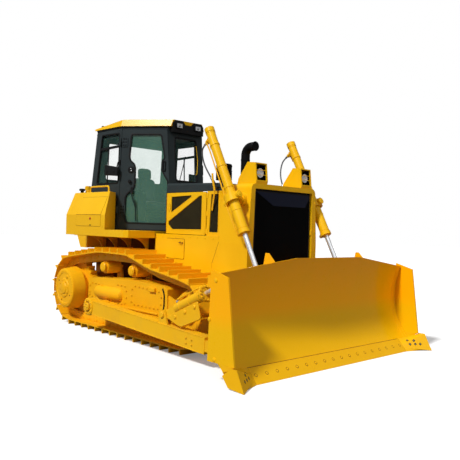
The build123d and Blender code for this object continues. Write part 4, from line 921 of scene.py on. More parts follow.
def rods(starts, ends, radius, sides=4):
    # Straight thin bars from each start to its end
    starts, ends = np.atleast_2d(starts).astype(float), np.atleast_2d(ends).astype(float)
    frames = basis(ends - starts)
    rim = np.einsum("sk,nkj->nsj", circle(sides) * radius, frames[:, :2])
    points = np.concatenate([starts[:, None] + rim, ends[:, None] + rim, starts[:, None], ends[:, None]], 1)
    _, quads, tris = skin(np.stack([points[0, :sides], points[0, sides:2 * sides]]))
    return repeated(points, quads, tris)


def chords(outline, pitch, tilt=0.0):
    # The parts of evenly spaced parallel lines that lie inside an outline
    turn = np.array([[cos(tilt), sin(tilt)], [-sin(tilt), cos(tilt)]])
    a = np.asarray(outline, float) @ turn.T
    b = np.roll(a, -1, 0)
    found = []
    for level in np.arange(a[:, 1].min() + pitch / 2, a[:, 1].max(), pitch):
        cut = (a[:, 1] > level) != (b[:, 1] > level)
        p, q = a[cut], b[cut]
        at = np.sort(p[:, 0] + (level - p[:, 1]) * (q[:, 0] - p[:, 0]) / (q[:, 1] - p[:, 1]))
        found += [[(s, level), (e, level)] for s, e in zip(at[::2], at[1::2])]
    return np.array(found) @ turn


def onSide(sign, y):
    # Face square to y: (station, height, distance out) to points
    return lambda a, b, out: np.stack([a + 0 * out, sign * (y + out) + 0 * a, b + 0 * out], -1)


def onFront(x):
    # Face square to x: (y, height, distance out) to points
    return lambda a, b, out: np.stack([x + out + 0 * a, a + 0 * out, b + 0 * out], -1)


def net(outline, place, pitch, radius, out):
    # Two layers of wires over an outline, one lying on the other
    layers = []
    for k, tilt in enumerate((0.0, pi / 2)):
        lines = chords(outline, pitch, tilt)
        ends = [place(lines[:, e, 0], lines[:, e, 1], out + k * radius * 1.6) for e in (0, 1)]
        layers.append(rods(*ends, radius))
    return merge(*layers)


def panel(outline, place, low, high, bevel=1.0, radius=0.0):
    # Flat plate over an outline from one height above a face to another, its outer edge bevelled
    outline = rounded(outline, radius) if radius else np.asarray(outline, float)
    levels = [(low, 0), (high - bevel, 0), (high, bevel)]
    return skin(np.stack([place(*inset(outline, b).T, np.full(len(outline), float(h))) for h, b in levels]))


def along(place, a, b, out=0.0):
    # Points on a face at pairs of places
    return place(np.asarray(a, float), np.asarray(b, float), out)


# Engine bay
bay = {
    "face": 606.0,
    "floor": 592.0,
    "upper": [(1850, 1985), (2350, 2000), (1850, 1760)],
    "lower": [(1790, 1640), (2480, 1990), (2530, 1990), (2530, 1537), (1880, 1529), (1790, 1590)],
    "fixed": [(2690, 1507), (2870, 1507), (2870, 2006), (2720, 2006)],
    "wirePitch": 11.0,
    "wire": 1.3,
    "doorBolts": [(2568, z) for z in (1500, 1640, 1760, 1900, 2010)] + [(1760, z) for z in (1500, 2010)],
    "stripBolts": [(2656, z) for z in (1480, 1580, 1690, 1800, 1910, 2025)]
    + [(2906, z) for z in (1480, 1660, 1850, 2025)] + [(2780, 1484), (2780, 2024)],
    "latch": (1822, 1838),
    "hook": [(2135, -2, 1352), (2135, 26, 1352), (2190, 26, 1346), (2190, -2, 1346)],
    "panelFace": 640.0,
    "coverFace": 648.5,
    "cover": [(1810, 1130), (1810, 1400), (2220, 1400), (2220, 1130)],
    "skirt": [(2812, 1112), (2934, 1390)],  # joint of the slanted guard
    "skirtBolts": [(2842, 1105), (2964, 1383)],
    "coverBolts": [(2015, 1378), (2015, 1152)],  # besides one at each corner
    "panelBolts": [(1560, z) for z in (1180, 1300, 1415)] + [(x, 1425) for x in range(1700, 2900, 160)],
}


def doorScreens(sign, names):
    place = onSide(sign, bay["floor"])
    return merge(*[net(inset(np.asarray(bay[n], float), 3), place, bay["wirePitch"], bay["wire"], 5.0)
                   for n in names])


def screenShades(sign, names):
    # Near-black sheet behind each screen: painted shade of the bay seen through the mesh
    place = onSide(sign, bay["floor"])
    return merge(*[panel(bay[n], place, 0.2, 1.6, 0.3, 14) for n in names])


def screenRims(sign, names):
    # Folded lip round each screen
    place = onSide(sign, bay["face"])
    lip = [(-9, 0.0), (-8, 2.2), (1, 2.2), (2, 0.5), (2, -13), (-1, -13), (-1, -1)]
    return merge(*[band(rounded(bay[n], 14), lip, place) for n in names])


def doorLatch(sign):
    # Recessed paddle latch: a tray with a grip in it; the dark slot beside the grip is painted shade, drawn
    # by latchSlot
    place = onSide(sign, bay["face"])
    x, z = bay["latch"]
    tray = [(x - 34, z - 52), (x + 34, z - 52), (x + 34, z + 52), (x - 34, z + 52)]
    lip = [(-3, 0.0), (-2, 4), (3, 5), (5, 3), (5, 0.5), (0, 0.3)]
    grip = [(x - 24, z - 40), (x + 4, z - 40), (x + 4, z + 40), (x - 24, z + 40)]
    return merge(band(rounded(tray, 10), lip, place), panel(grip, place, -0.3, 4.0, 1.5, 6))


def latchSlot(sign):
    # Dark patch of painted shade in the slot beside the latch's grip
    x, z = bay["latch"]
    slot = [(x + 10, z - 40), (x + 26, z - 40), (x + 26, z + 40), (x + 10, z + 40)]
    return panel(slot, onSide(sign, bay["face"]), -0.3, 1.0, 0.3, 5)


def baySeams(sign):
    # Dark joint lines: the foot of the slanted guard skirt, and the cover's outline
    line = onSide(sign, bay["panelFace"])
    edge = np.array(bay["skirt"], float)
    across = unit(np.array([1.0, -0.44])) * 2.2
    strip = np.vstack([edge - across, (edge + across)[::-1]])
    rim = band(rounded(bay["cover"], 20), [(-5, 0.1), (-5, 1.2), (-0.2, 1.2), (-0.2, 0.1)], line)
    return merge(panel(strip, line, -0.3, 0.6, 0.2), rim)


def panelBolts(sign):
    head, small = hexHead(9, 6), hexHead(6.5, 4)
    out = (0, sign, 0)
    a, b = np.array(bay["panelBolts"], float).T
    low, high = np.array(bay["skirtBolts"])
    skirt = np.linspace(0.1, 0.9, 4)[:, None] * (high - low) + low
    edge = inset(np.array(bay["cover"], float), 22)
    cover = np.vstack([edge, bay["coverBolts"]])
    c, d = np.array(bay["stripBolts"], float).T
    return merge(copies(head, along(onSide(sign, bay["panelFace"]), a, b, -0.4), out),
                 copies(small, along(onSide(sign, bay["panelFace"]), *skirt.T, -0.4), out),
                 copies(small, along(onSide(sign, bay["coverFace"]), *cover.T, -0.4), out),
                 copies(small, along(onSide(sign, bay["face"]), c, d, -0.4), out))


def doorBolts(sign):
    a, b = np.array(bay["doorBolts"], float).T
    return copies(hexHead(6.5, 4), along(onSide(sign, bay["face"]), a, b, -0.4), (0, sign, 0))


def coverHook(sign):
    # Bent rod handle on the side panel's cover
    path = [(x, sign * (bay["coverFace"] + out), z) for x, out, z in bay["hook"]]
    feet = turned([(13, 0), (13, 3), (9, 5)], sides=16)
    return merge(pipe(path, 6, (0, 0, 1), 10, 14), copies(feet, [path[0], path[-1]], (0, sign, 0)))


for sign, hand in hands:
    door = "engine_door_" + hand.lower()
    makePiece("doorScreens" + hand, doorScreens(sign, ("upper", "lower")), screenWire, door)
    makePiece("doorScreenShades" + hand, screenShades(sign, ("upper", "lower")), screenBack, door)
    makePiece("doorScreenRims" + hand, screenRims(sign, ("upper", "lower")), yellow, door)
    makePiece("doorLatch" + hand, doorLatch(sign), yellow, door)
    makePiece("doorLatchSlot" + hand, latchSlot(sign), screenBack, door)
    makePiece("doorBolts" + hand, doorBolts(sign), yellow, door)
makePiece("bayScreens", both(doorScreens, ("fixed",)), screenWire)
makePiece("bayScreenShades", both(screenShades, ("fixed",)), screenBack)
makePiece("bayScreenRims", both(screenRims, ("fixed",)), yellow)
makePiece("bayBolts", both(panelBolts), yellow)
makePiece("baySeams", both(baySeams), seamShade)
makePiece("bayHooks", both(coverHook), seamShade, slot="steel")
print("engine bay detailed")

# Radiator guard and lamps
nose = {
    "pane": [(-516, 929), (516, 929), (516, 1398), (505, 2038), (-505, 2038), (-516, 1398)],
    "paneFace": 3434.0,
    "pitch": 13.0,
    "wire": 1.7,
    "shroud": [(-500, 2034), (-184, 1866), (420, 1868), (500, 1990), (500, 2034)],
    "face": 3466.0,
    "bolts": [(y, z) for y in (-592, 592) for z in (860, 1100, 1340, 1560, 1940)]
    + [(y, 830) for y in (-420, -140, 140, 420)],
    "lampY": 416.0,
    "lampZ": 2262.0,
    "lampFace": 3398.0,
    "lampDepth": 70.0,
    "guardBars": (2236.0, 2296.0),
    "hinges": (1170.0, 1880.0),
    "hinge": [(3440, -562, -40), (3462, -524, 40)],
    "lock": [(3440, 526, 1500), (3464, 560, 1580)],
    "hornMouth": (3456.0, 2170.0, 0.13),  # x, z, and how far it leans back per millimetre of height
    "hornBack": [(-82, 4), (82, 4), (82, 202), (-82, 202)],
    "hornFloor": [(-82, 6), (82, 6), (82, 170), (-82, 170)],
    "hornWall": [(3276, 2176), (3440, 2176), (3418, 2366), (3322, 2366)],
    "hornHalf": 84,
    "brow": (3322, 3434, 2372),  # back, front, underside
}


def grilleRim():
    # Rubber-lipped frame round the screen
    lip = [(-4, 0), (-4, 7), (6, 9), (12, 6), (12, 0)]
    return band(rounded(nose["pane"], 24), lip, onFront(nose["paneFace"]))


def noseBolts():
    a, b = np.array(nose["bolts"], float).T
    return copies(hexHead(8, 5), along(onFront(nose["face"]), a, b, -0.4), (1, 0, 0))


def noseLatches():
    # Hinge blocks on the right edge of the guard's opening and a lock on the left
    low, high = np.array(nose["hinge"], float)
    parts = []
    for z in nose["hinges"]:
        parts.append(block(low + [0, 0, z], high + [0, 0, z], 5))
        spots = [(high[0] - 1, (low[1] + high[1]) / 2, z + up) for up in (-22, 22)]
        parts.append(copies(hexHead(7, 5), spots, (1, 0, 0)))
    return merge(*parts, block(*nose["lock"], 5))


def lampPoint(sign, ahead):
    return np.array([nose["lampFace"] + ahead, sign * nose["lampY"], nose["lampZ"]])


def lampBowl(sign):
    # Spun bowl with a bulb holder in the middle
    bowl = [(60, 0), (60, 26), (56, 27), (53, 22), (46, 13), (34, 7), (18, 4), (14, 18), (8, 22)]
    return turned(bowl, lampPoint(sign, -1), (1, 0, 0), 40)


def lampLens(sign):
    return turned([(55, 0), (55, 4), (40, 8), (20, 10)], lampPoint(sign, 19), (1, 0, 0), 40)


def lampBezel(sign):
    # Rolled ring round the lens and the can behind it
    ring = [(61.5, 0), (68, 0), (68, 20), (66, 28), (60, 30), (57, 27), (61.5, 22)]
    depth = nose["lampDepth"]
    can = turned([(50, 0), (62, 6), (62, depth)], lampPoint(sign, -2 - depth), (1, 0, 0), 40)
    return merge(ringRound(lampPoint(sign, -2), (1, 0, 0), ring, 48), can)


def lampGuard(sign):
    # Two thin bars across the horn's mouth
    y = sign * nose["lampY"]
    front, foot, lean = nose["hornMouth"]
    parts = []
    for z in nose["guardBars"]:
        x = front - (z - foot) * lean
        path = [(x - 20, y - 86, z), (x, y - 78, z), (x, y + 78, z), (x - 20, y + 86, z)]
        parts.append(pipe(path, 3.2, (0, 0, 1), 10, 16))
    return merge(*parts)


def lampShadeLiners(sign):
    # Black sheets of painted shade on the back, floor and walls inside the horn
    y, run = sign * nose["lampY"], unit([50.0, 0, 202.0])
    back = plate(nose["hornBack"], 1.5, (3270.5, y, 2170.5), (0, 1, 0), run, 0.4)
    floor = plate(nose["hornFloor"], 1.2, (3272, y, 2170.3), (0, -1, 0), (1, 0, 0), 0.4)
    walls = []
    for side in (-1, 1):

        def place(a, b, out):
            return np.stack([a, y + side * (nose["hornHalf"] - out), b], -1)

        walls.append(panel(nose["hornWall"], place, 0.2, 1.4, 0.3))
    return merge(back, floor, *walls)


def lampCeilingShades(sign):
    # Dark sheet of painted shade on the underside of each horn's brow
    y = sign * nose["lampY"]
    back, front, under = nose["brow"]
    outline = [(back, y - 82), (front, y - 82), (front, y + 82), (back, y + 82)]
    return panel(outline, lambda a, b, out: np.stack([a, b, under - out], -1), 0.2, 1.4, 0.3)


makePiece("hoodLampCeilingShades", both(lampCeilingShades), seamShade)
makePiece("grilleMesh", net(nose["pane"], onFront(nose["paneFace"]), nose["pitch"], nose["wire"], 3.0),
          grilleWire)
# The shroud's navy is a painted reflection of the sky
makePiece("grilleShroud", panel(nose["shroud"], onFront(nose["paneFace"]), 5.5, 7.5, 0.6), grilleSkyReflection)
makePiece("grilleRim", grilleRim(), rubber)
makePiece("noseBolts", noseBolts(), yellow)
makePiece("noseLatches", noseLatches(), yellow)
makePiece("hoodLampBowls", both(lampBowl), lampSilver)
makePiece("hoodLampLenses", both(lampLens), lens)
makePiece("hoodLampBezels", both(lampBezel), black)
makePiece("hoodLampGuards", both(lampGuard), yellow)
makePiece("hoodLampShadeLiners", both(lampShadeLiners), black)
print("radiator guard and lamps detailed")

# Lift cylinders
lift = {
    "pivot": (3315.0, 762.0, 1925.0),
    "down": (0.47919, 0.0, -0.87771),
    "cross": (0.87771, 0.0, 0.47919),
    "gland": 471.0,
    "tail": 1010.0,
    "clamps": (-780.0, -470.0, -170.0),
    "port": 880.0,
    "pipe": [(-880, -96, 22), (-820, -98, 22), (-760, -80, 34), (-60, -80, 34), (0, -112, 34), (380, -90, 34),
             (446, -92, 20), (452, -66, 6)],  # down, ahead, outboard
    "stay": [(2755, -46, 1795), (2775, -34, 1850), (2868, 16, 2049), (2838, 22, 2150), (2824, 26, 2262)],
    "stayY": 660.0,
    "bossFace": 652.0,
}


def liftPoint(sign, t, ahead=0.0, out=0.0):
    # Point t down the cylinder, ahead of its line and outboard of it
    x, y, z = lift["pivot"]
    return (np.array([x, sign * (y + out), z]) + np.array(lift["down"]) * t + np.array(lift["cross"]) * ahead)


def liftCollar(sign, t, inner, outer, tall):
    # Ring round the barrel with rounded edges
    ring = [(inner, 0), (outer - 2, 0), (outer, 2), (outer, tall - 2), (outer - 2, tall), (inner, tall)]
    return ringRound(liftPoint(sign, t), lift["down"], ring, 40)


def barrelFittings(sign):
    down = np.array(lift["down"])
    cap = turned([(58, 0), (58, 4), (46, 10), (26, 13), (22, 20), (10, 21)],
                 liftPoint(sign, -lift["tail"] - 7), -down, 36)
    rings = [liftCollar(sign, t, 57.5, 64, 26) for t in lift["clamps"]]
    rings += [liftCollar(sign, -lift["tail"] + 62, 57.5, 61, 8), liftCollar(sign, 150, 64.5, 69, 24),
              liftCollar(sign, 400, 64.5, 68, 10)]
    gland = copies(hexHead(8, 8, washer=False),
                   roundAxis(liftPoint(sign, lift["gland"] - 0.5), down, 10, 60), down)
    lip = turned([(46, 0), (46, 7), (42, 10), (31, 10)], liftPoint(sign, lift["gland"] - 0.5), down, 36)
    ears = []
    for t in lift["clamps"]:
        at = liftPoint(sign, t + 13, -66)
        ears.append(block(at - [16, 9, 13], at + [16, 9, 13], 3))
        ears.append(copies(hexHead(7, 6), [at + [0, sign * 8.6, 0]], (0, sign, 0)))
    return merge(cap, gland, lip, *rings, *ears)


def barrelPipe(sign):
    # Steel pipe from the port block behind the barrel down to the gland
    return pipe([liftPoint(sign, *spot) for spot in lift["pipe"]], 9, (0, 1, 0), 12, 45)


def portBlock(sign):
    # Flanged block at the hose port, with its banjo bolt
    back = -np.array(lift["cross"])
    at = liftPoint(sign, -lift["port"], -64)
    flange = turned([(38, 0), (38, 14), (34, 18), (28, 18), (28, 44), (25, 48)], at, back, 6)
    nut = turned([(20, 0), (20, 20), (17, 23), (14, 23)], liftPoint(sign, -lift["port"], -113), back, 6)
    ports = copies(hexHead(12, 12), [liftPoint(sign, -lift["port"], -84, 27)], (0, sign, 0))
    foot = liftPoint(sign, 446, -70)
    lower = turned([(24, 0), (24, 30), (20, 34), (12, 34)], foot, back, 6)
    return merge(flange, ports, nut, lower)


def yokeCaps(sign):
    # Covers over the stubs of the yoke with four bolts each
    parts = []
    for face in (-1, 1):
        axis = face * np.array(lift["cross"])
        at = liftPoint(sign, 0, face * 127.5)
        parts.append(turned([(45, 0), (45, 7), (41, 10), (22, 11), (18, 15), (8, 16)], at, axis, 32))
        parts.append(copies(hexHead(6, 6), roundAxis(at + 9 * axis, axis, 4, 32, pi / 4), axis))
    return merge(*parts)


def bossRings(sign):
    # Bolted ring on the guard round each yoke's shaft
    centre = (lift["pivot"][0], lift["pivot"][2])
    spots = np.asarray(centre) + circle(8, 0.3) * 74
    place = onSide(sign, lift["bossFace"])
    return copies(hexHead(7, 6), along(place, *spots.T, -0.4), (0, sign, 0))


def hoseStays(sign):
    # Flat stay from the hinge strip up to the ring that guides the hose
    path = np.array([(x, sign * (lift["stayY"] + y), z) for x, y, z in lift["stay"]], float)
    strap = sweep(bent(path, 40, 4), [(-15, -3), (15, -3), (15, 3), (-15, 3)], (0, 1, 0))
    feet = [path[0] + [0, 0, 2], path[2] + [0, sign, -2]]
    bolts = copies(hexHead(9, 8), feet, (0, sign, 0))
    return merge(strap, bolts)


for sign, hand in hands:
    side = hand.lower()
    makePiece("liftBarrelFittings" + hand, barrelFittings(sign), yellow, "lift_barrel_" + side)
    makePiece("liftPipe" + hand, barrelPipe(sign), yellowArm, "lift_barrel_" + side)
    makePiece("liftPort" + hand, portBlock(sign), yellowArm, "lift_barrel_" + side)
    makePiece("liftYokeCaps" + hand, yokeCaps(sign), yellow, "lift_yoke_" + side)
makePiece("liftBossBolts", both(bossRings), yellow)
makePiece("hoseStays", both(hoseStays), yellowArm)
print("lift cylinders detailed")


# Cab
cab = {
    "floor": 1491.0,
    "half": 800.0,
    "corner": 735.0,
    "slant": radians(34.2),
    "taper": tan(radians(2.2)),
    "frontRake": (1400, 2165, 80, 903),  # x and z of the foot, lean over a height
    "backRake": (-190, 1491.0, 173, 1577),
    "doorWindow": [(150, 1604), (790, 1604), (790, 2235), (728, 2330), (684, 2400), (684, 2550), (722, 2585),
                   (655, 2945), (180, 2945), (160, 2600), (178, 2545), (240, 2500), (258, 2440), (262, 2190),
                   (240, 2115), (150, 2050), (118, 1990), (118, 1690)],
    "rearWindow": [(52, 2208), (690, 2208), (662, 2966), (140, 2976)],
    "frontWindow": [(-196, 2262), (196, 2262), (206, 2912), (-206, 2912)],
    "backWindow": [(-560, 2300), (560, 2300), (540, 2900), (-540, 2900)],
    "seal": [(-15, 0.5), (-13, 5), (-4, 7), (7, 6), (10, 2), (10, -13), (0, -13), (-1, 0.2)],
    "lock": (196, 2408),
    "knob": (186, 2230),
    "wiper": [(226, 2075), (299, 1701)],
    "hinges": (1800, 2827),
    "rail": [(112, 2736), (684, 2752), (682, 2790), (118, 2776)],
    "stile": [(330, 2212), (352, 2212), (352, 2742), (330, 2742)],
    "mirror": [(392, 2330), (760, 2304), (760, 2440), (392, 2492)],
    "mirrorPost": [(716, 2520, 2), (716, 2520, 34), (724, 2440, 52), (724, 2340, 52)],
    "mirrorBase": [(698, 2480), (734, 2480), (734, 2560), (698, 2560)],
    "mirrorPads": [(430, 2356), (480, 2356), (480, 2396), (430, 2396)],
    "sill": [(14, 1494), (826, 1494), (826, 1507), (14, 1507)],
    "lip": [(-18, 3046), (728, 3046), (728, 3066), (-16, 3066)],
    "doorLip": [(4, 3046), (744, 3046), (744, 3066), (4, 3066)],
    "wallBolts": [(-120, 1560), (-100, 1900), (-80, 2150), (20, 2150), (360, 2150), (690, 2150), (-20, 3000),
                  (300, 3018), (640, 3014)],
    "frontArm": [(-150, 2225, 14), (-145, 2290, 30), (-60, 2520, 20)],
    "frontBlade": [(-118, 2330, 13), (-20, 2640, 13)],
    "frontBar": [(186, 2820, -2), (176, 2820, 36), (196, 2600, 40), (176, 2380, 36), (186, 2380, -2)],
    "knobs": [(-30, -640, 3400), (-30, 640, 3400)],
    "lamps": (-175, 175),
    "lampFace": 1416.0,
    "lampBox": [(-56, 3051), (56, 3051), (56, 3125), (-56, 3125)],
    "lampSpot": [(-26, 3066), (14, 3066), (24, 3096), (-16, 3092)],
    "cowlEdge": [(1745, 578, 2172), (2925, 578, 2143)],
    "cowlBolts": (1800, 2150, 2620, 2880),
    "handle": [(704, 2391), (741, 2391), (741, 2544), (704, 2544)],
}


def doorFace(sign):
    # Leaning face of a door: distance from the hinge post, height, distance out
    run = np.array([cos(cab["slant"]), sin(cab["slant"])])
    out = np.array([run[1], -run[0]])

    def place(a, b, height):
        a, b, height = np.broadcast_arrays(np.asarray(a, float), np.asarray(b, float), height)
        lean = height - (b - cab["floor"]) * cab["taper"]
        x = cab["corner"] + a * run[0] + lean * out[0]
        y = -cab["half"] + a * run[1] + lean * out[1]
        return np.stack([x, -sign * y, b], -1)

    return place


def wallFace(sign):
    # Leaning face of a side wall: station, height, distance out

    def place(a, b, height):
        a, b, height = np.broadcast_arrays(np.asarray(a, float), np.asarray(b, float), height)
        return np.stack([a, sign * (cab["half"] - (b - cab["floor"]) * cab["taper"] + height), b], -1)

    return place


def endFace(front):
    # Raked end: y, height, distance out

    def place(a, b, height):
        a, b, height = np.broadcast_arrays(np.asarray(a, float), np.asarray(b, float), height)
        x, foot, lean, tall = cab["frontRake"] if front else cab["backRake"]
        side = 1 if front else -1
        return np.stack([x - side * (b - foot) * lean / tall + side * height, a, b], -1)

    return place


def doorOut(sign):
    return np.array([sin(cab["slant"]), sign * cos(cab["slant"]), sin(radians(2.2))])


def doorSeal(sign):
    outline = rounded(cab["doorWindow"], 34, 3)
    return band(outline, cab["seal"], doorFace(sign))


def doorHardware(sign):
    # Lock, knob, grip round the handle slot, and the wiper's arm and motor
    place, out = doorFace(sign), doorOut(sign)
    parts = []
    for (a, b), profile in (
        (cab["lock"], [(52, -1), (52, 6), (47, 10), (30, 11), (26, 8), (12, 8)]),
        (cab["knob"], [(20, -1), (20, 14), (26, 18), (26, 28), (20, 33), (8, 34)]),
    ):
        parts.append(turned(profile, place(a, b, 0), out, 32))
    grip = [(-5, 1), (-5, 12), (2, 16), (8, 12), (8, -6), (0, -6)]
    parts.append(band(rounded(cab["handle"], 18), grip, place))
    foot, tip = cab["wiper"]
    arm = np.array([place(foot[0], foot[1], 8), place(foot[0] + 4, foot[1] - 60, 26),
                    place(tip[0], tip[1] + 130, 20)])
    parts.append(pipe(arm, 7, (1, 0, 0), 8, 20))
    parts.append(turned([(24, -1), (24, 10), (19, 16), (10, 17)], place(*foot, 0), out, 24))
    motor = [(foot[0] - 22, foot[1] - 30), (foot[0] + 20, foot[1] - 30), (foot[0] + 20, foot[1] + 70),
             (foot[0] - 22, foot[1] + 70)]
    parts.append(panel(motor, place, 0.3, 18.0, 5, 14))
    return merge(*parts)


def wiperBlade(sign):
    place = doorFace(sign)
    tip = cab["wiper"][1]
    start = place(tip[0] - 14, tip[1] + 250, 11)
    end = place(tip[0] + 8, tip[1] - 70, 8)
    line = np.array([start, (start + end) / 2, end])
    profile = np.array([(-9, 5), (-4, 9), (4, 9), (9, 5), (3, 2), (2, -7), (-2, -7), (-3, 2)], float)
    return sweep(line, profile, np.cross(unit(end - start), np.cross(unit(end - start), -doorOut(sign))))


def lockDots(sign):
    place, out = doorFace(sign), doorOut(sign)
    spots = [place(cab["lock"][0] + da, cab["lock"][1] + db, 9) for da, db in ((-4, 17), (4, -17))]
    return copies(turned([(9, 0), (9, 2.2), (6, 3)], sides=16), spots, out)


def hingeBolts(sign, door):
    # Screws on the two hinge leaves: six on the door, two on the wall
    parts = []
    for z in cab["hinges"]:
        if door:
            spots = [doorFace(sign)(a, z + h, 9.4) for a in (62, 98) for h in (-48, 0, 48)]
            parts.append(copies(hexHead(8, 6), spots, doorOut(sign)))
        else:
            lean = -26 * (z - cab["floor"]) / cab["backRake"][3]
            spots = [wallFace(sign)(cab["corner"] + lean - 58, z + h, 9.4) for h in (-42, -14)]
            parts.append(copies(hexHead(8, 6), spots, (0, sign, 0.038)))
    return merge(*parts)


def wallSeals(sign):
    # Rubber round the side window, with the bar across it and its sliding catch
    place = wallFace(sign)
    seal = band(rounded(cab["rearWindow"], 30, 3), cab["seal"], place)
    return merge(seal, panel(cab["rail"], place, -14, 3, 2), panel(cab["stile"], place, -20, -10, 2))


def wallMirror(sign):
    # Folding mirror head on a short arm behind the door post
    place = wallFace(sign)
    head = panel(cab["mirror"], place, 42, 74, 8, 12)
    pads = [panel(np.add(cab["mirrorPads"], (ahead, 0)), place, 73, 80, 3, 8) for ahead in (0, 200)]
    post = np.array([place(x, z, out) for x, z, out in cab["mirrorPost"]])
    base = panel(cab["mirrorBase"], place, 0.3, 10, 3, 8)
    return merge(head, *pads, pipe(post, 9, (1, 0, 0), 10, 18), base)


def endSeals():
    return merge(*[band(rounded(cab[name], 40, 4), cab["seal"], endFace(front))
                   for name, front in (("frontWindow", True), ("backWindow", False))])


def cabTrim(sign):
    # Black strip under the door and the roof's drip lip
    door, wall = doorFace(sign), wallFace(sign)
    return merge(panel(cab["sill"], door, 0.3, 16, 3), panel(cab["lip"], wall, 0.3, 12, 3),
                 panel(cab["doorLip"], door, 0.3, 10, 3))


def wallBolts(sign):
    place = wallFace(sign)
    spots = [place(x, z, -0.4) for x, z in cab["wallBolts"]]
    return copies(hexHead(8, 5), spots, (0, sign, 0.038))


def windscreenWiper():
    place = endFace(True)
    arm, rail = [np.array([place(*spot) for spot in cab[name]]) for name in ("frontArm", "frontBlade")]
    foot = place(*cab["frontArm"][0][:2], -1)
    knuckle = turned([(22, 0), (22, 12), (16, 18), (8, 19)], foot, (1, 0, 0), 24)
    section = np.array([(-5, 4), (5, 4), (2, -7), (-2, -7)], float)
    return merge(knuckle, pipe(arm, 6, (1, 0, 0), 8, 20), sweep(rail, section, (1, 0, 0)))


def windscreenBar():
    # Thin bent rod in front of the windscreen's left edge
    place = endFace(True)
    return pipe(np.array([place(*spot) for spot in cab["frontBar"]]), 5, (1, 0, 0), 10, 40)


def roofKnobs():
    # Two short black posts at the rear of the roof
    profile = [(20, 0), (20, 10), (15, 14), (15, 32), (22, 38), (22, 60), (16, 66), (6, 67)]
    places = seats("cab_roof", cab["knobs"], (0, 0, -1))[0]
    return copies(turned(profile, sides=28), places - [0, 0, 1], (0, 0, 1))


def visorLamps(name, shape):
    # One part of each lamp on the visor, worked from an outline round the lamp's middle
    place = onFront(cab["lampFace"])
    return merge(*[shape(np.add(cab[name], (y, 0.0)), place) for y in cab["lamps"]])


def visorFrame(box, place):
    lip = [(-9, -13), (-9, 5), (-4, 8), (3, 8), (5, 4), (5, 0.2), (-1, 0.2), (-1, -13)]
    return band(rounded(box, 12), lip, place)


def visorLens(box, place):
    return panel(inset(box, 6), place, 0.4, 3.4, 1, 8)


def visorSpot(outline, place):
    return panel(outline, place, -0.2, 0.4, 0.2, 8)


def cowlTrim():
    # Rolled top edges and bolts of the cowl behind the radiator guard
    parts = []
    for sign in (-1, 1):
        edge = np.array([(x, sign * y, z) for x, y, z in cab["cowlEdge"]], float)
        parts.append(sweep(edge, circle(10) * [7, 5], (0, 0, 1)))
        spots = [(x, sign * 400, 2600) for x in cab["cowlBolts"]]
        parts.append(bolted(hexHead(9, 6), "hood", spots, (0, 0, -1)))
    return merge(*parts)


for sign, hand in hands:
    door = "cab_door_" + hand.lower()
    makePiece("cabDoorSeal" + hand, doorSeal(sign), rubber, door)
    makePiece("cabDoorHardware" + hand, doorHardware(sign), plastic, door)
    makePiece("cabDoorWiper" + hand, wiperBlade(sign), rubber, door)
    makePiece("cabLockDots" + hand, lockDots(sign), zinc, door, slot="yellow_paint")
    makePiece("cabHingeBolts" + hand, hingeBolts(sign, True), black, door)
makePiece("cabPostBolts", both(hingeBolts, False), black)
makePiece("cabWallSeals", both(wallSeals), rubber)
makePiece("cabEndSeals", endSeals(), rubber)
makePiece("cabMirrors", both(wallMirror), plastic)
makePiece("cabTrim", both(cabTrim), plastic)
makePiece("cabWallBolts", both(wallBolts), slate)
makePiece("windscreenWiper", windscreenWiper(), plastic)
makePiece("windscreenBar", windscreenBar(), yellow)
makePiece("roofKnobs", roofKnobs(), plastic)
makePiece("visorLampFrames", visorLamps("lampBox", visorFrame), plastic)
makePiece("visorLampLenses", visorLamps("lampBox", visorLens), lens)
makePiece("visorLampSpots", visorLamps("lampSpot", visorSpot), black)
makePiece("cowlTrim", cowlTrim(), slate)
print("cab detailed")


# Blade
blade = {
    "half": 1700.0,
    "edgeOut": 28.0,
    "boltRow": 96.0,
    "boltStep": 157.0,
    "bitBolts": [(1494, 128), (1560, 128), (1494, 84), (1560, 84), (1622, 84)],
    "edgeTop": (4303.5, 130.0),
    "edgeRun": (0.6768, 0.7362),  # slope of the cutting edge's face: ahead, down
    "edgeEnd": 1390.0,
    "beads": [(1668.0, 6, 1070), (1596.0, 2.4, 1120)],  # y, radius, top
    "plugs": [(4150, 1040), (4150, 240), (4060, 640)],
    "lug": (3915, 762, 826),
    "lugReach": 240,
    "foot": [(4200, 213), (4450, 213), (4332, 152), (4296, 140)],
}


def edgeFace(a, b, out):
    # Cutting edge's face: y, distance down it from its top, distance out of the blade's skin
    a, b, out = np.broadcast_arrays(np.asarray(a, float), np.asarray(b, float), out)
    (x, z), (ahead, down) = blade["edgeTop"], blade["edgeRun"]
    return np.stack([x + ahead * b + down * out, a, z - down * b + ahead * out], -1)


edgeOut = (blade["edgeRun"][1], 0.0, blade["edgeRun"][0])
plowBolt = [(14, 0), (14, 2.5), (11, 4), (5, 4.2)]
boltRing = [(20, 0), (20, 0.7), (14, 0.9)]


def edgeSpots():
    y = (np.arange(18) - 8.5) * blade["boltStep"]
    return edgeFace(y, np.full(len(y), blade["boltRow"]), blade["edgeOut"] - 0.2)


def bitSpots():
    starts = [(5200, sign * y, z) for sign in (-1, 1) for y, z in blade["bitBolts"]]
    return seats("end_bits", starts, (-1, 0, 0))


def edgeSeams():
    # Dark joints along the top of the cutting edge and beside the end bits
    end = blade["edgeEnd"]
    parts = [rods(edgeFace(-end, -3, 18), edgeFace(end, -3, 18), 5, 6)]
    for y in (-end - 3, end + 3):
        parts.append(rods(edgeFace(y, 6, 26), edgeFace(y, 196, 26), 2.5, 6))
    return merge(*parts)


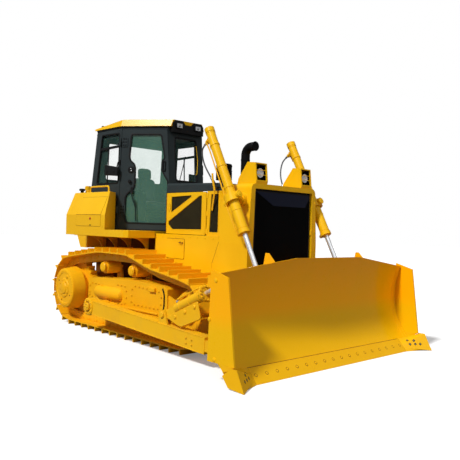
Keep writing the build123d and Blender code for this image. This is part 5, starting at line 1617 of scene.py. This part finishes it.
def skinBeads():
    # Weld beads where the skin meets the end plates, and the line of the wear strip
    parts = []
    for sign in (-1, 1):
        for y, radius, top in blade["beads"]:
            starts = [(5400.0, sign * y, z) for z in np.arange(150.0, top, 12.0)]
            parts.append(pipe(seats("moldboard", starts, (-1, 0, 0))[0], radius, (0, 1, 0), 8))
    return merge(*parts)


def plateFoot(sign):
    # Lower corner of an end plate, down to the end bit
    start = (0, -1680.5, 0) if sign < 0 else (0, 1699.5, 0)
    return plate(blade["foot"], 19, start, (1, 0, 0), (0, 0, 1), 1.5, 4)


def plateSeams(sign):
    # Plugs on each end plate's outer face
    starts = [(x, sign * 2400, z) for x, z in blade["plugs"]]
    spots = seats("moldboard", starts, (0, -sign, 0))[0]
    return copies(turned([(22, 0), (22, 5), (16, 8)], sides=24), spots, (0, sign, 0))


def lugPins():
    # Heads and keepers of the pins that carry the lift rods
    x, y, z = blade["lug"]
    head = turned([(38, 0), (38, 10), (33, 14), (20, 15), (16, 12)], sides=32)
    parts = []
    for sign in (-1, 1):
        for face in (-1, 1):
            start = (x, sign * y + face * blade["lugReach"], z)
            places = seats("moldboard", [start], (0, -face, 0))[0]
            parts.append(copies(head, places, (0, face, 0)))
            parts.append(copies(hexHead(8, 7), places + [0, face * 12, 26], (0, face, 0)))
    return merge(*parts)


makePiece("edgeBolts", copies(turned(plowBolt, sides=20), edgeSpots(), edgeOut), yellowBlade, "blade")
# Dark rings of painted shade round the plough bolts
makePiece("edgeBoltRings", copies(turned(boltRing, sides=20), edgeSpots(), edgeOut), seamShade, "blade")
bitPlaces, bitNormals = bitSpots()
makePiece("bitBolts", copies(turned([(9, 0), (9, 2.0), (6, 3)], sides=6), bitPlaces, bitNormals), steel,
          "blade")
# Dark squares of painted shade in the end bits' bolt sockets
makePiece("bitSockets", copies(turned([(21, 0), (21, 0.8), (14, 1.0)], sides=4), bitPlaces, bitNormals),
          screenBack, "blade")
makePiece("edgeSeams", edgeSeams(), seamShade, "blade")
makePiece("skinBeads", skinBeads(), skinReflectionPaint, "blade")
makePiece("endPlateFeet", both(plateFoot), yellowBlade, "blade")
makePiece("bladeLugPins", lugPins(), yellowArm, "blade")
makePiece("endPlatePlugs", both(plateSeams), yellowBlade, "blade")
print("blade detailed")

# Tilt cylinder and brace
tilt = {
    "rear": (2824.0, -1345.0, 504.0),
    "run": (0.91398, 0.0, 0.40576),
    "across": (-0.40576, 0.0, 0.91398),
    "clamps": (330.0, 520.0, 700.0),
    "flange": 796.0,  # bolted ring at the gland
    "pipe": [(300, 62), (300, 92), (360, 92), (740, 92), (772, 92), (772, 66)],  # along, above
    "ports": (300.0, 772.0),
    "guard": [(60, -48), (250, -212), (300, -236), (655, -252), (680, -236), (694, -66), (684, -50)],
    "guardLip": [(262, 0), (664, 0), (664, 46), (262, 46)],
    "guardBolts": (230.0, 430.0, 620.0),
    "hangers": (330.0, 600.0),
    "pipeClips": (330.0, 700.0),
    "pinLine": 1345.0,
    "armPin": (2824, 504),
    "bladePin": (3930, 995),
}


def tiltPoint(t, up=0.0, out=0.0):
    return (np.array(tilt["rear"]) + np.array(tilt["run"]) * t + np.array(tilt["across"]) * up
            + np.array([0, -out, 0]))


def tiltFittings():
    # Bolted gland, clamp rings and pipes along the tilt cylinder
    run = np.array(tilt["run"])
    parts = []
    for t, tall, outer in [(c, 22, 71) for c in tilt["clamps"]] + [(tilt["flange"], 24, 100)]:
        ring = [(63, 0), (outer - 3, 0), (outer, 3), (outer, tall - 3), (outer - 3, tall), (63, tall)]
        parts.append(ringRound(tiltPoint(t), run, ring, 40))
    parts.append(copies(hexHead(13, 18, washer=False),
                        roundAxis(tiltPoint(tilt["flange"] + 23.5), run, 12, 82), run))
    stud = turned([(9, 0), (9, 58), (6, 60)], sides=10)
    parts.append(copies(stud, roundAxis(tiltPoint(tilt["flange"] - 39), run, 12, 76), run))
    path = [tiltPoint(t, up, 20) for t, up in tilt["pipe"][:-1]] + [tiltPoint(*tilt["pipe"][-1], 16)]
    parts.append(pipe(path, 9, (0, 1, 0), 12, 30))
    for t in tilt["pipeClips"]:
        at = tiltPoint(t + 11, 88, 20)
        parts.append(block(at - [16, 14, 12], at + [16, 14, 12], 3))
        parts.append(copies(hexHead(7, 6), [at + [0, -13.6, 0]], (0, -1, 0)))
    return merge(*parts)


def tiltPorts():
    fitting = [(24, 0), (24, 14), (20, 18), (14, 18), (14, 30), (10, 32)]
    return merge(*[turned(fitting, tiltPoint(t, 60, 16), tilt["across"], 6) for t in tilt["ports"]])


def stoneGuard():
    # Flanged plate that hangs under the tilt cylinder, with three round bolts along it
    run, across = np.array(tilt["run"]), np.array(tilt["across"])
    body = plate(tilt["guard"], 12, tiltPoint(0, 0, 40), run, across, 3, 22)
    lip = plate(tilt["guardLip"], 10, tiltPoint(0, -240, 40), run, (0, 1, 0), 2, 8)
    knob = turned([(24, 0), (24, 8), (18, 13), (8, 14)], sides=24)
    spots = [tiltPoint(t, -96, 51) for t in tilt["guardBolts"]]
    hangers = [block(tiltPoint(t, -62, 30) - [14, 12, 16], tiltPoint(t, -62, 30) + [14, 12, 16], 3)
               for t in tilt["hangers"]]
    return merge(body, lip, copies(knob, spots, (0, -1, 0)), *hangers)


def pinCollars(*pins):
    # Round retaining plates at both ends of each pin: its place, its side and the node it stands in
    plateShape = turned([(36, 0), (36, 8), (31, 12), (12, 13)], sides=28)
    spots = circle(3, 0.5) * 22
    parts = []
    for name, sign, node in pins:
        x, z = tilt[name]
        for face in (-1, 1):
            places = seats(node, [(x, sign * tilt["pinLine"] + face * 220, z)], (0, -face, 0))[0]
            if len(places):
                parts.append(copies(plateShape, places, (0, face, 0)))
                ring = places + np.column_stack([spots[:, 0], np.full(3, face * 10.0), spots[:, 1]])
                parts.append(copies(hexHead(6, 6, washer=False), ring, (0, face, 0)))
    return merge(*parts)


makePiece("tiltFittings", tiltFittings(), yellowArm, "tilt_barrel")
makePiece("tiltPorts", tiltPorts(), zinc, "tilt_barrel")
makePiece("tiltGuard", stoneGuard(), yellowArm, "tilt_barrel")
makePiece("pinCollarsRight", pinCollars(("armPin", -1, "push_arm_right")), yellowArm, "right_arm")
makePiece("pinCollarsBlade", pinCollars(("bladePin", -1, "moldboard"), ("armPin", 1, "push_arm_left"),
                                        ("bladePin", 1, "moldboard")), yellowArm, "blade")
print("tilt cylinder detailed")


# Side boxes, platform, tank and rear
rear = {
    "boxFace": 1150.0,
    "fold": 1706.0,
    "rise": (0.0, -145.0, 352.0),
    "door": (120.0, 860.0),
    "doorFoot": 1536.0,
    "doorReach": 292.0,
    "boltInset": 24.0,
    "lock": (565.0, 1651.0),
    "slot": [(536, 1546), (596, 1546), (596, 1558), (536, 1558)],
    "boxTop": 2057.5,
    "railFeet": [(100.0, 905.0), (660.0, 905.0)],
    "filler": (-120.0, -930.0),
    "eye": [(-150, 0), (-150, 43), (-110, 55), (-70, 43), (-70, 0)],
    "eyePlace": (850.0, 2057.0),
    "deck": 1491.0,
    "treadStep": (44.0, 30.0),
    "treadSpan": [(1030, 1480), (690, 1120)],
    "treadEdge": (1160.0, 0.2),  # the bare margin along the cab: x + 0.2 y
    "screwRow": 1440.0,
    "gussets": (60, 460, 860, 1330),
    "gussetBolts": (646.0, (1230, 1290, 1350)),
    "tankFiller": (-360.0, -700.0, 2167.0),
    "tankBolts": [(y, z) for y in (-700, -350, 0, 350, 700) for z in (1300, 1620, 1850)],
    "drain": (300, 1240),
    "rungs": (1420, 1700),
    "rungEnds": (-560, -300),
    "rungReach": -630.0,
    "lamps": [(-620, 1960), (620, 1960)],
    "hullCover": (0, 900),
}


def slopeFace(sign):
    # Upper leaning face of a side box: station, distance up from the fold, distance out
    up = unit(np.array(rear["rise"]) * [1, sign, 1])
    out = np.array([0, sign * up[2], -sign * up[1]])

    def place(a, b, height):
        a, b, height = np.broadcast_arrays(np.asarray(a, float), np.asarray(b, float), height)
        foot = np.stack([a, np.full(a.shape, sign * rear["boxFace"]), np.full(a.shape, rear["fold"])], -1)
        return foot + b[..., None] * up + height[..., None] * out

    return place


def boxLeaves(sign):
    # Folded service door: a lower leaf and an upper leaf that meet on the box's fold, each with its face
    (x0, x1), foot, fold, reach = rear["door"], rear["doorFoot"], rear["fold"] - 3, rear["doorReach"]
    return (([(x0, foot), (x1, foot), (x1, fold), (x0, fold)], onSide(sign, rear["boxFace"])),
            ([(x0, 3), (x1, 3), (x1, reach), (x0, reach)], slopeFace(sign)))


def boxDoors(sign):
    return merge(*[panel(leaf, place, -0.3, 3.2, 1.2) for leaf, place in boxLeaves(sign)])


def boxLines(sign):
    # Dark joint round the service door
    rim = [(-4, 0.1), (-4, 0.9), (-0.3, 0.9), (-0.3, 0.1)]
    return merge(*[band(leaf, rim, place) for leaf, place in boxLeaves(sign)])


def boxBolts(sign):
    x0, x1 = rear["door"]
    low = onSide(sign, rear["boxFace"])
    pair = [x0 + rear["boltInset"], x1 - rear["boltInset"]] * 2
    a = pair + [(x0 + x1) / 2, x1 + 60, x1 + 200]
    b = [1560, 1560, 1680, 1680, 1560, 1530, 1530]
    up = along(slopeFace(sign), pair, [30, 30, 276, 276], 3.0)
    tilt = slopeFace(sign)(0.0, 0.0, 1) - slopeFace(sign)(0.0, 0.0, 0)
    return merge(copies(hexHead(6, 4), along(low, a, b, 2.8), (0, sign, 0)), copies(hexHead(6, 4), up, tilt))


def boxLock(sign):
    place = along(onSide(sign, rear["boxFace"]), rear["lock"][:1], rear["lock"][1:], 3.0)[0]
    return turned([(19, 0), (19, 5), (15, 8), (8, 8.5)], place, (0, sign, 0), 20)


def boxSlot(sign):
    # Dark patch of painted shade in the side box's slot
    return panel(rear["slot"], onSide(sign, rear["boxFace"]), 3.0, 4.2, 0.3, 4)


def railFeet(sign):
    spots = [(x, sign * y, rear["boxTop"]) for x, y in rear["railFeet"]]
    foot = [(32, 0), (32, 5), (28, 8), (16, 9), (16, 20), (13.2, 22)]
    return merge(copies(turned(foot, sides=24), spots, (0, 0, 1)),
                 copies(hexHead(6, 5), [(x + d, y, z + 7) for x, y, z in spots for d in (-23, 23)],
                        (0, 0, 1)))


def boxCap():
    # Mushroom filler cap on top of the right box's rear end
    profile = [(26, 0), (26, 34), (44, 38), (48, 44), (48, 60), (42, 68), (20, 72)]
    return turned(profile, (*rear["filler"], rear["boxTop"]), (0, 0, 1), 36)


def boxEyes(sign):
    y, z = rear["eyePlace"]
    ring = np.array([(x, sign * y, z + rise) for x, rise in rear["eye"]], float)
    return pipe(ring, 9, (0, 1, 0), 10, 26)


def treads(sign):
    # Raised lozenges on the open step ahead of the side box, in two slants
    rows = [np.arange(a, b, step) for (a, b), step in zip(rear["treadSpan"], rear["treadStep"])]
    gx, gy = np.meshgrid(*rows, indexing="ij")
    turn = (np.indices(gx.shape).sum(0) % 2).ravel() * 2 - 1
    spots = np.column_stack([gx.ravel(), sign * gy.ravel(), np.full(gx.size, rear["deck"] - 0.3)])
    keep = spots[:, 0] + np.abs(spots[:, 1]) * rear["treadEdge"][1] > rear["treadEdge"][0]
    parts = []
    for slant in (-1, 1):
        c, s = cos(slant * 0.7), sin(slant * 0.7)
        shape = np.array([(-15, 0), (0, -3.5), (15, 0), (0, 3.5)]) @ np.array([[c, s], [-s, c]])
        points, quads, tris = plate(shape, 2.4, (0, 0, 0), (1, 0, 0), (0, 1, 0), 1.2)
        chosen = spots[keep & (turn == slant)]
        parts.append(repeated((chosen[:, None] + points[None]), quads, tris))
    return merge(*parts)


def deckEdge(sign):
    # Small screws along the platform's outer face
    x = np.arange(-160, 1480, 120.0)
    spots = along(onSide(sign, rear["boxFace"]), x, np.full(len(x), rear["screwRow"]), -0.4)
    return copies(hexHead(7, 4), spots, (0, sign, 0))


def ribBolts():
    # Bolts under the platform's gussets, at the hull
    y, heights = rear["gussetBolts"]
    spots = [(x + 6, sign * y, z) for sign in (-1, 1) for x in rear["gussets"] for z in heights]
    return copies(hexHead(10, 8), spots, (1, 0, 0))


def behind(spots):
    # Starts behind the machine, for rays that run forward
    return [(-1200, y, z) for y, z in spots]


def tankDetails():
    # Filler cap with its grips, drain plug and bolts of the fuel tank
    x, y, z = rear["tankFiller"]
    cap = turned([(50, 0), (50, 6), (44, 12), (44, 22), (38, 26), (14, 27)], (x, y, z), (0, 0, 1), 40)
    grips = copies(block((-5, -3, 0), (5, 3, 20), 1.5),
                   np.column_stack([circle(10) * 48 + [x, y], np.full(10, z - 27)]), (0, 0, 1))
    heads = bolted(hexHead(12, 9), "fuel_tank", behind(rear["tankBolts"]), (1, 0, 0))
    plug = bolted(hexHead(24, 20), "fuel_tank", behind([rear["drain"]]), (1, 0, 0))
    return merge(cap, grips, heads, plug)


def tankSteps():
    # Two rung steps on the back of the tank
    parts = []
    for z in rear["rungs"]:
        a, b = seats("fuel_tank", behind([(y, z) for y in rear["rungEnds"]]), (1, 0, 0))[0]
        path = np.array([a + [8, 0, 0], a - [54, 0, 0], b - [54, 0, 0], b + [8, 0, 0]])
        path[:, 0] = np.maximum(path[:, 0], rear["rungReach"])
        parts.append(pipe(path, 9, (0, 0, 1), 10, 16))
    return merge(*parts)


def tailLamps(profile):
    return copies(turned(profile, sides=32), *seats("fuel_tank", behind(rear["lamps"]), (1, 0, 0)))


def hullCovers():
    # Bolted round cover and inspection plate on the back of the hull
    places, normals = seats("main_frame", behind([rear["hullCover"]]), (1, 0, 0))
    ring = [(150, -2), (150, 8), (142, 12), (60, 14), (52, 24), (20, 26)]
    disc = copies(turned(ring, sides=48), places, normals)
    spots = places[0] + np.column_stack([np.full(12, -8.0), circle(12) * 128])
    return merge(disc, copies(hexHead(9, 8), spots, (-1, 0, 0)))


makePiece("boxDoors", both(boxDoors), yellow)
makePiece("boxJoints", both(boxLines), seamShade)
makePiece("boxBolts", both(boxBolts), yellow)
makePiece("boxLocks", both(boxLock), redPlastic)
makePiece("boxSlots", both(boxSlot), screenBack)
makePiece("railFeet", both(railFeet), yellow)
makePiece("boxCap", boxCap(), plastic)
makePiece("boxEyes", both(boxEyes), yellow)
makePiece("stepTreads", both(treads), yellow)
makePiece("deckBolts", both(deckEdge), yellow)
makePiece("gussetBolts", ribBolts(), yellowLow)
makePiece("tankDetails", tankDetails(), yellow)
makePiece("tankSteps", tankSteps(), yellow)
makePiece("tailLampCases", tailLamps([(46, -4), (46, 14), (42, 18), (37, 18), (36, 12)]), plastic)
makePiece("tailLampLenses", tailLamps([(36, 6), (36, 14), (28, 18), (12, 20)]), redLens)
makePiece("hullCovers", hullCovers(), yellowLow)
print("boxes, platform and rear detailed")

# Pipes on the hood
stackSet = {
    "stack": (2860.0, -150.0),
    "stackRadius": 59.0,
    "mouth": (3050.0, -150.0, 2655.0),
    "clamps": (2245, 2470),
    "cleaner": (2433.0, -150.0),
    "cleanerRadius": 108.0,
    "bands": (2236, 2352, 2420),
    "fins": (48, 2254, 88),  # how many, foot, height
    "nut": 2455.6,
}


def stackTrim():
    # Rolled mouth, clamp bands and collar bolts of the exhaust pipe
    x, y = stackSet["stack"]
    r = stackSet["stackRadius"]
    lip = [(r - 3, -9), (r + 3, -9), (r + 5, -4), (r + 3, 0.6), (r - 4, 0.6), (r - 6, -2)]
    parts = [ringRound(stackSet["mouth"], (1, 0, 0), lip)]
    for z in stackSet["clamps"]:
        parts.append(ringRound((x, y, z), (0, 0, 1), [(r - 0.5, 0), (r + 3, 0), (r + 3, 20), (r - 0.5, 20)]))
        parts.append(block((x - r - 24, y - 8, z), (x - r, y + 8, z + 20), 2))
    return merge(*parts)


def stackMouth():
    return turned([(54, 0), (54, 1.2), (40, 1.4)], np.array(stackSet["mouth"]) - [0.6, 0, 0], (1, 0, 0), 40)


def cleanerTrim():
    # Slotted skirt, rim band and wing nut of the pre-cleaner
    x, y = stackSet["cleaner"]
    r = stackSet["cleanerRadius"]
    rim = [(r - 0.5, 0), (r + 4, 0), (r + 5, 5), (r + 4, 10), (r - 0.5, 10)]
    parts = [ringRound((x, y, z), (0, 0, 1), rim) for z in stackSet["bands"]]
    count, foot, tall = stackSet["fins"]
    spots = np.column_stack([circle(count) * (r + 0.6) + [x, y], np.full(count, foot)])
    parts.append(copies(block((-2.5, -1.5, 0), (2.5, 1.5, tall), 0.8), spots, (0, 0, 1)))
    nut = [(24, 0), (24, 6), (14, 10), (14, 24), (8, 28)]
    parts.append(turned(nut, (x, y, stackSet["nut"]), (0, 0, 1), 24))
    return merge(*parts)


makePiece("stackTrim", stackTrim(), blackHot)
makePiece("stackMouth", stackMouth(), black)
makePiece("cleanerTrim", cleanerTrim(), black)
print("pipes on the hood detailed")

# Lift hoses
hose = {
    "points": [(0.7860, 0.762, 2.6399), (0.7026, 0.762, 2.5944), (0.672, 0.742, 2.500), (0.684, 0.716, 2.390),
               (0.732, 0.686, 2.280), (0.804, 0.660, 2.170)],
    "diameter": 0.020,
    "ferrule": 0.052,
}


def hoseLine(sign, name):
    # Centreline of a hose, read off a NURBS curve through its route's control points
    curve = bpy.data.curves.new(name, "CURVE")
    curve.dimensions = "3D"
    curve.resolution_u = 24
    spline = curve.splines.new("NURBS")
    spline.points.add(len(hose["points"]) - 1)
    spline.points.foreach_set("co", [c for x, y, z in hose["points"] for c in (x, sign * y, z, 1.0)])
    spline.order_u = 3
    spline.use_endpoint_u = True
    holder = bpy.data.objects.new(name, curve)
    scene.collection.objects.link(holder)
    bpy.context.view_layer.update()
    line = bpy.data.meshes.new_from_object(holder.evaluated_get(bpy.context.evaluated_depsgraph_get()))
    co = np.zeros(len(line.vertices) * 3, np.float32)
    line.vertices.foreach_get("co", co)
    bpy.data.objects.remove(holder)
    bpy.data.curves.remove(curve)
    bpy.data.meshes.remove(line)
    return co.reshape(-1, 3).astype(float)


for sign, hand in hands:
    route = hoseLine(sign, "hoseRoute" + hand)
    millimetres = (route - [axleX, 0, 0]) * 1000
    side = hand.lower()
    ferrules = [sweep(np.linspace(millimetres[k], millimetres[k] + unit(millimetres[m] - millimetres[k])
                                  * hose["ferrule"] * 1000, 5), circle(16) * 14.5, (0, 1, 0))
                for k, m in ((0, 3), (-1, -4))]
    top = makePiece("hoseFerrule" + hand, ferrules[0], zinc, "lift_barrel_" + side)
    foot = makePiece("hoseTail" + hand, ferrules[1], zinc)
    tube = makePiece("liftHose" + hand, pipe(millimetres, hose["diameter"] * 500, (0, 1, 0), 16),
                     greyHose, None)
    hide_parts("lift_hose_" + side)
    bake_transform(tube)

# Seat and controls
seat = {
    "x": 480.0,
    "floor": 1546.0,
    "armrest": [(-150, 560), (-40, 575), (170, 575)],
    "armrestY": 268,
    "levers": (680, 365, 519.5, 668),  # x, y, foot of the gaiter, foot of the grip
    "voxel": 0.009,
    "pressure": 4.0,
    "cap": 0.010,
    "pads": {
        "seatCushion": ((505, 0, 1912), (232, 228, 46), 4.0, (0.35, 0.30, 0.55)),
        "seatBack": ((249, 0, 2146), (42, 216, 205), -8.5, (0.55, 0.35, 0.35)),
        "seatHeadrest": ((238, 0, 2424), (34, 124, 92), -5.0, (0.6, 0.45, 0.45)),
    },
}


def curved(value, power):
    return np.sign(value) * np.abs(value) ** power


def leant(centre, x, y, z, lean):
    # Points about a centre, turned about Y by an angle in degrees
    a = radians(lean)
    return np.stack([centre[0] + x * cos(a) + z * sin(a), centre[1] + y,
                     centre[2] - x * sin(a) + z * cos(a)], -1)


def padShell(centre, half, lean, power):
    # Rounded block: each of its three half sizes times a power of a sine or a cosine, leant about Y
    u = np.linspace(-pi / 2, pi / 2, 34)[1:-1]
    v = np.linspace(0, 2 * pi, 64, endpoint=False)
    uu, vv = np.meshgrid(u, v, indexing="ij")
    x = half[0] * curved(np.cos(uu), power[2]) * curved(np.cos(vv), power[0])
    y = half[1] * curved(np.cos(uu), power[2]) * curved(np.sin(vv), power[0])
    z = half[2] * curved(np.sin(uu), power[1])
    return skin(leant(centre, x, y, z, lean))


def remeshed(piece, size):
    # Replaces a piece's mesh with an even one
    change = piece.modifiers.new("even", "REMESH")
    change.mode = "VOXEL"
    change.voxel_size = size
    bpy.context.view_layer.update()
    fresh = bpy.data.meshes.new_from_object(piece.evaluated_get(bpy.context.evaluated_depsgraph_get()))
    piece.modifiers.remove(change)
    piece.data = fresh
    fresh.shade_smooth()


def puffed(piece, pressure, cap):
    # Inflates a pad as cloth under pressure; no point moves further than the cap
    mesh = piece.data
    start = np.zeros(len(mesh.vertices) * 3, np.float32)
    mesh.vertices.foreach_get("co", start)
    cloth = piece.modifiers.new("cloth", "CLOTH")
    cloth.settings.use_pressure = True
    cloth.settings.uniform_pressure_force = pressure
    cloth.settings.effector_weights.gravity = 0.0
    cloth.point_cache.frame_start, cloth.point_cache.frame_end = 1, 20
    for step in range(1, 21):
        scene.frame_set(step)
    shaped = piece.evaluated_get(bpy.context.evaluated_depsgraph_get()).to_mesh()
    end = np.zeros(len(shaped.vertices) * 3, np.float32)
    shaped.vertices.foreach_get("co", end)
    piece.modifiers.remove(cloth)
    scene.frame_set(1)
    move = (end - start).reshape(-1, 3)
    far = np.linalg.norm(move, axis=1, keepdims=True)
    move *= np.minimum(1.0, cap / np.maximum(far, 1e-9))
    mesh.vertices.foreach_set("co", (start.reshape(-1, 3) + move).ravel())
    mesh.update()
    print("  pad", piece.name, "swelled by", round(float(far.max()) * 1000), "mm before the cap")


def padPiping(centre, half, lean, power, upright):
    # Sewn edge cord round a pad's middle
    v = np.linspace(0, 2 * pi, 96, endpoint=False)
    if upright:
        x, y, z = 0 * v, half[1] * curved(np.cos(v), power[1]), half[2] * curved(np.sin(v), power[1])
    else:
        x, y, z = half[0] * curved(np.cos(v), power[0]), half[1] * curved(np.sin(v), power[0]), 0 * v
    up = (1, 0, 0) if upright else (0, 0, 1)
    return sweep(leant(centre, x, y, z, lean), circle(8) * 4, up, closed=True)


pads = {}
for name, (centre, half, lean, power) in seat["pads"].items():
    pads[name] = makePiece(name, padShell(centre, half, lean, power), cloth, sharp=180)
    remeshed(pads[name], seat["voxel"])
    puffed(pads[name], seat["pressure"], seat["cap"])
    smooth = pads[name].modifiers.new("smooth", "SUBSURF")
    smooth.levels = smooth.render_levels = 1
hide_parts("operator_seat")


def seatBase():
    # Suspension base with bellows ribs, slide rails, back shell and armrests
    x, floor = seat["x"], seat["floor"]
    parts = [block((x - 185, -175, floor), (x + 185, 175, floor + 60), 8),
             block((x - 200, -190, floor + 262), (x + 215, 190, floor + 300), 10)]
    outline = rounded([(x - 160, -150), (x + 160, -150), (x + 160, 150), (x - 160, 150)], 40)
    heights = np.linspace(floor + 60, floor + 262, 17)
    swell = np.where(np.arange(17) % 2 == 0, 0.0, 18.0)
    parts.append(skin(np.stack([np.column_stack([inset(outline, s), np.full(len(outline), z)])
                                for z, s in zip(heights, swell)])))
    for sign in (-1, 1):
        arm = [(x + a, sign * seat["armrestY"], floor + h) for a, h in seat["armrest"]]
        parts.append(pipe(np.array(arm, float), 24, (0, 1, 0), 14, 30))
    back = block((x - 312, -170, floor + 420), (x - 288, 170, floor + 780), 8)
    return merge(*parts, back)


def leverGrips():
    # Rubber gaiters and shaped grips on the two control levers
    grip = [(14, 0), (17, 12), (15, 40), (19, 64), (25, 84), (24, 104), (14, 114), (5, 116)]
    gaiter = [(46, 0), (44, 10), (34, 14), (36, 22), (26, 28), (28, 38), (18, 46), (13, 60)]
    x, y, gaiterFoot, gripFoot = seat["levers"]
    return merge(*[copies(turned(profile, sides=sides), [(x, s * y, seat["floor"] + foot) for s in (-1, 1)],
                          (0, 0, 1))
                   for profile, sides, foot in ((gaiter, 28, gaiterFoot), (grip, 24, gripFoot))])


makePiece("seatPiping",
          merge(padPiping(*seat["pads"]["seatCushion"], False), padPiping(*seat["pads"]["seatBack"], True)),
          cloth)
makePiece("seatBase", seatBase(), plastic)
makePiece("leverGrips", leverGrips(), rubber)
print("hoses, seat and controls made")

print("pieces made:", len(made), "triangles:", sum(len(p.data.loop_triangles) for p in made))
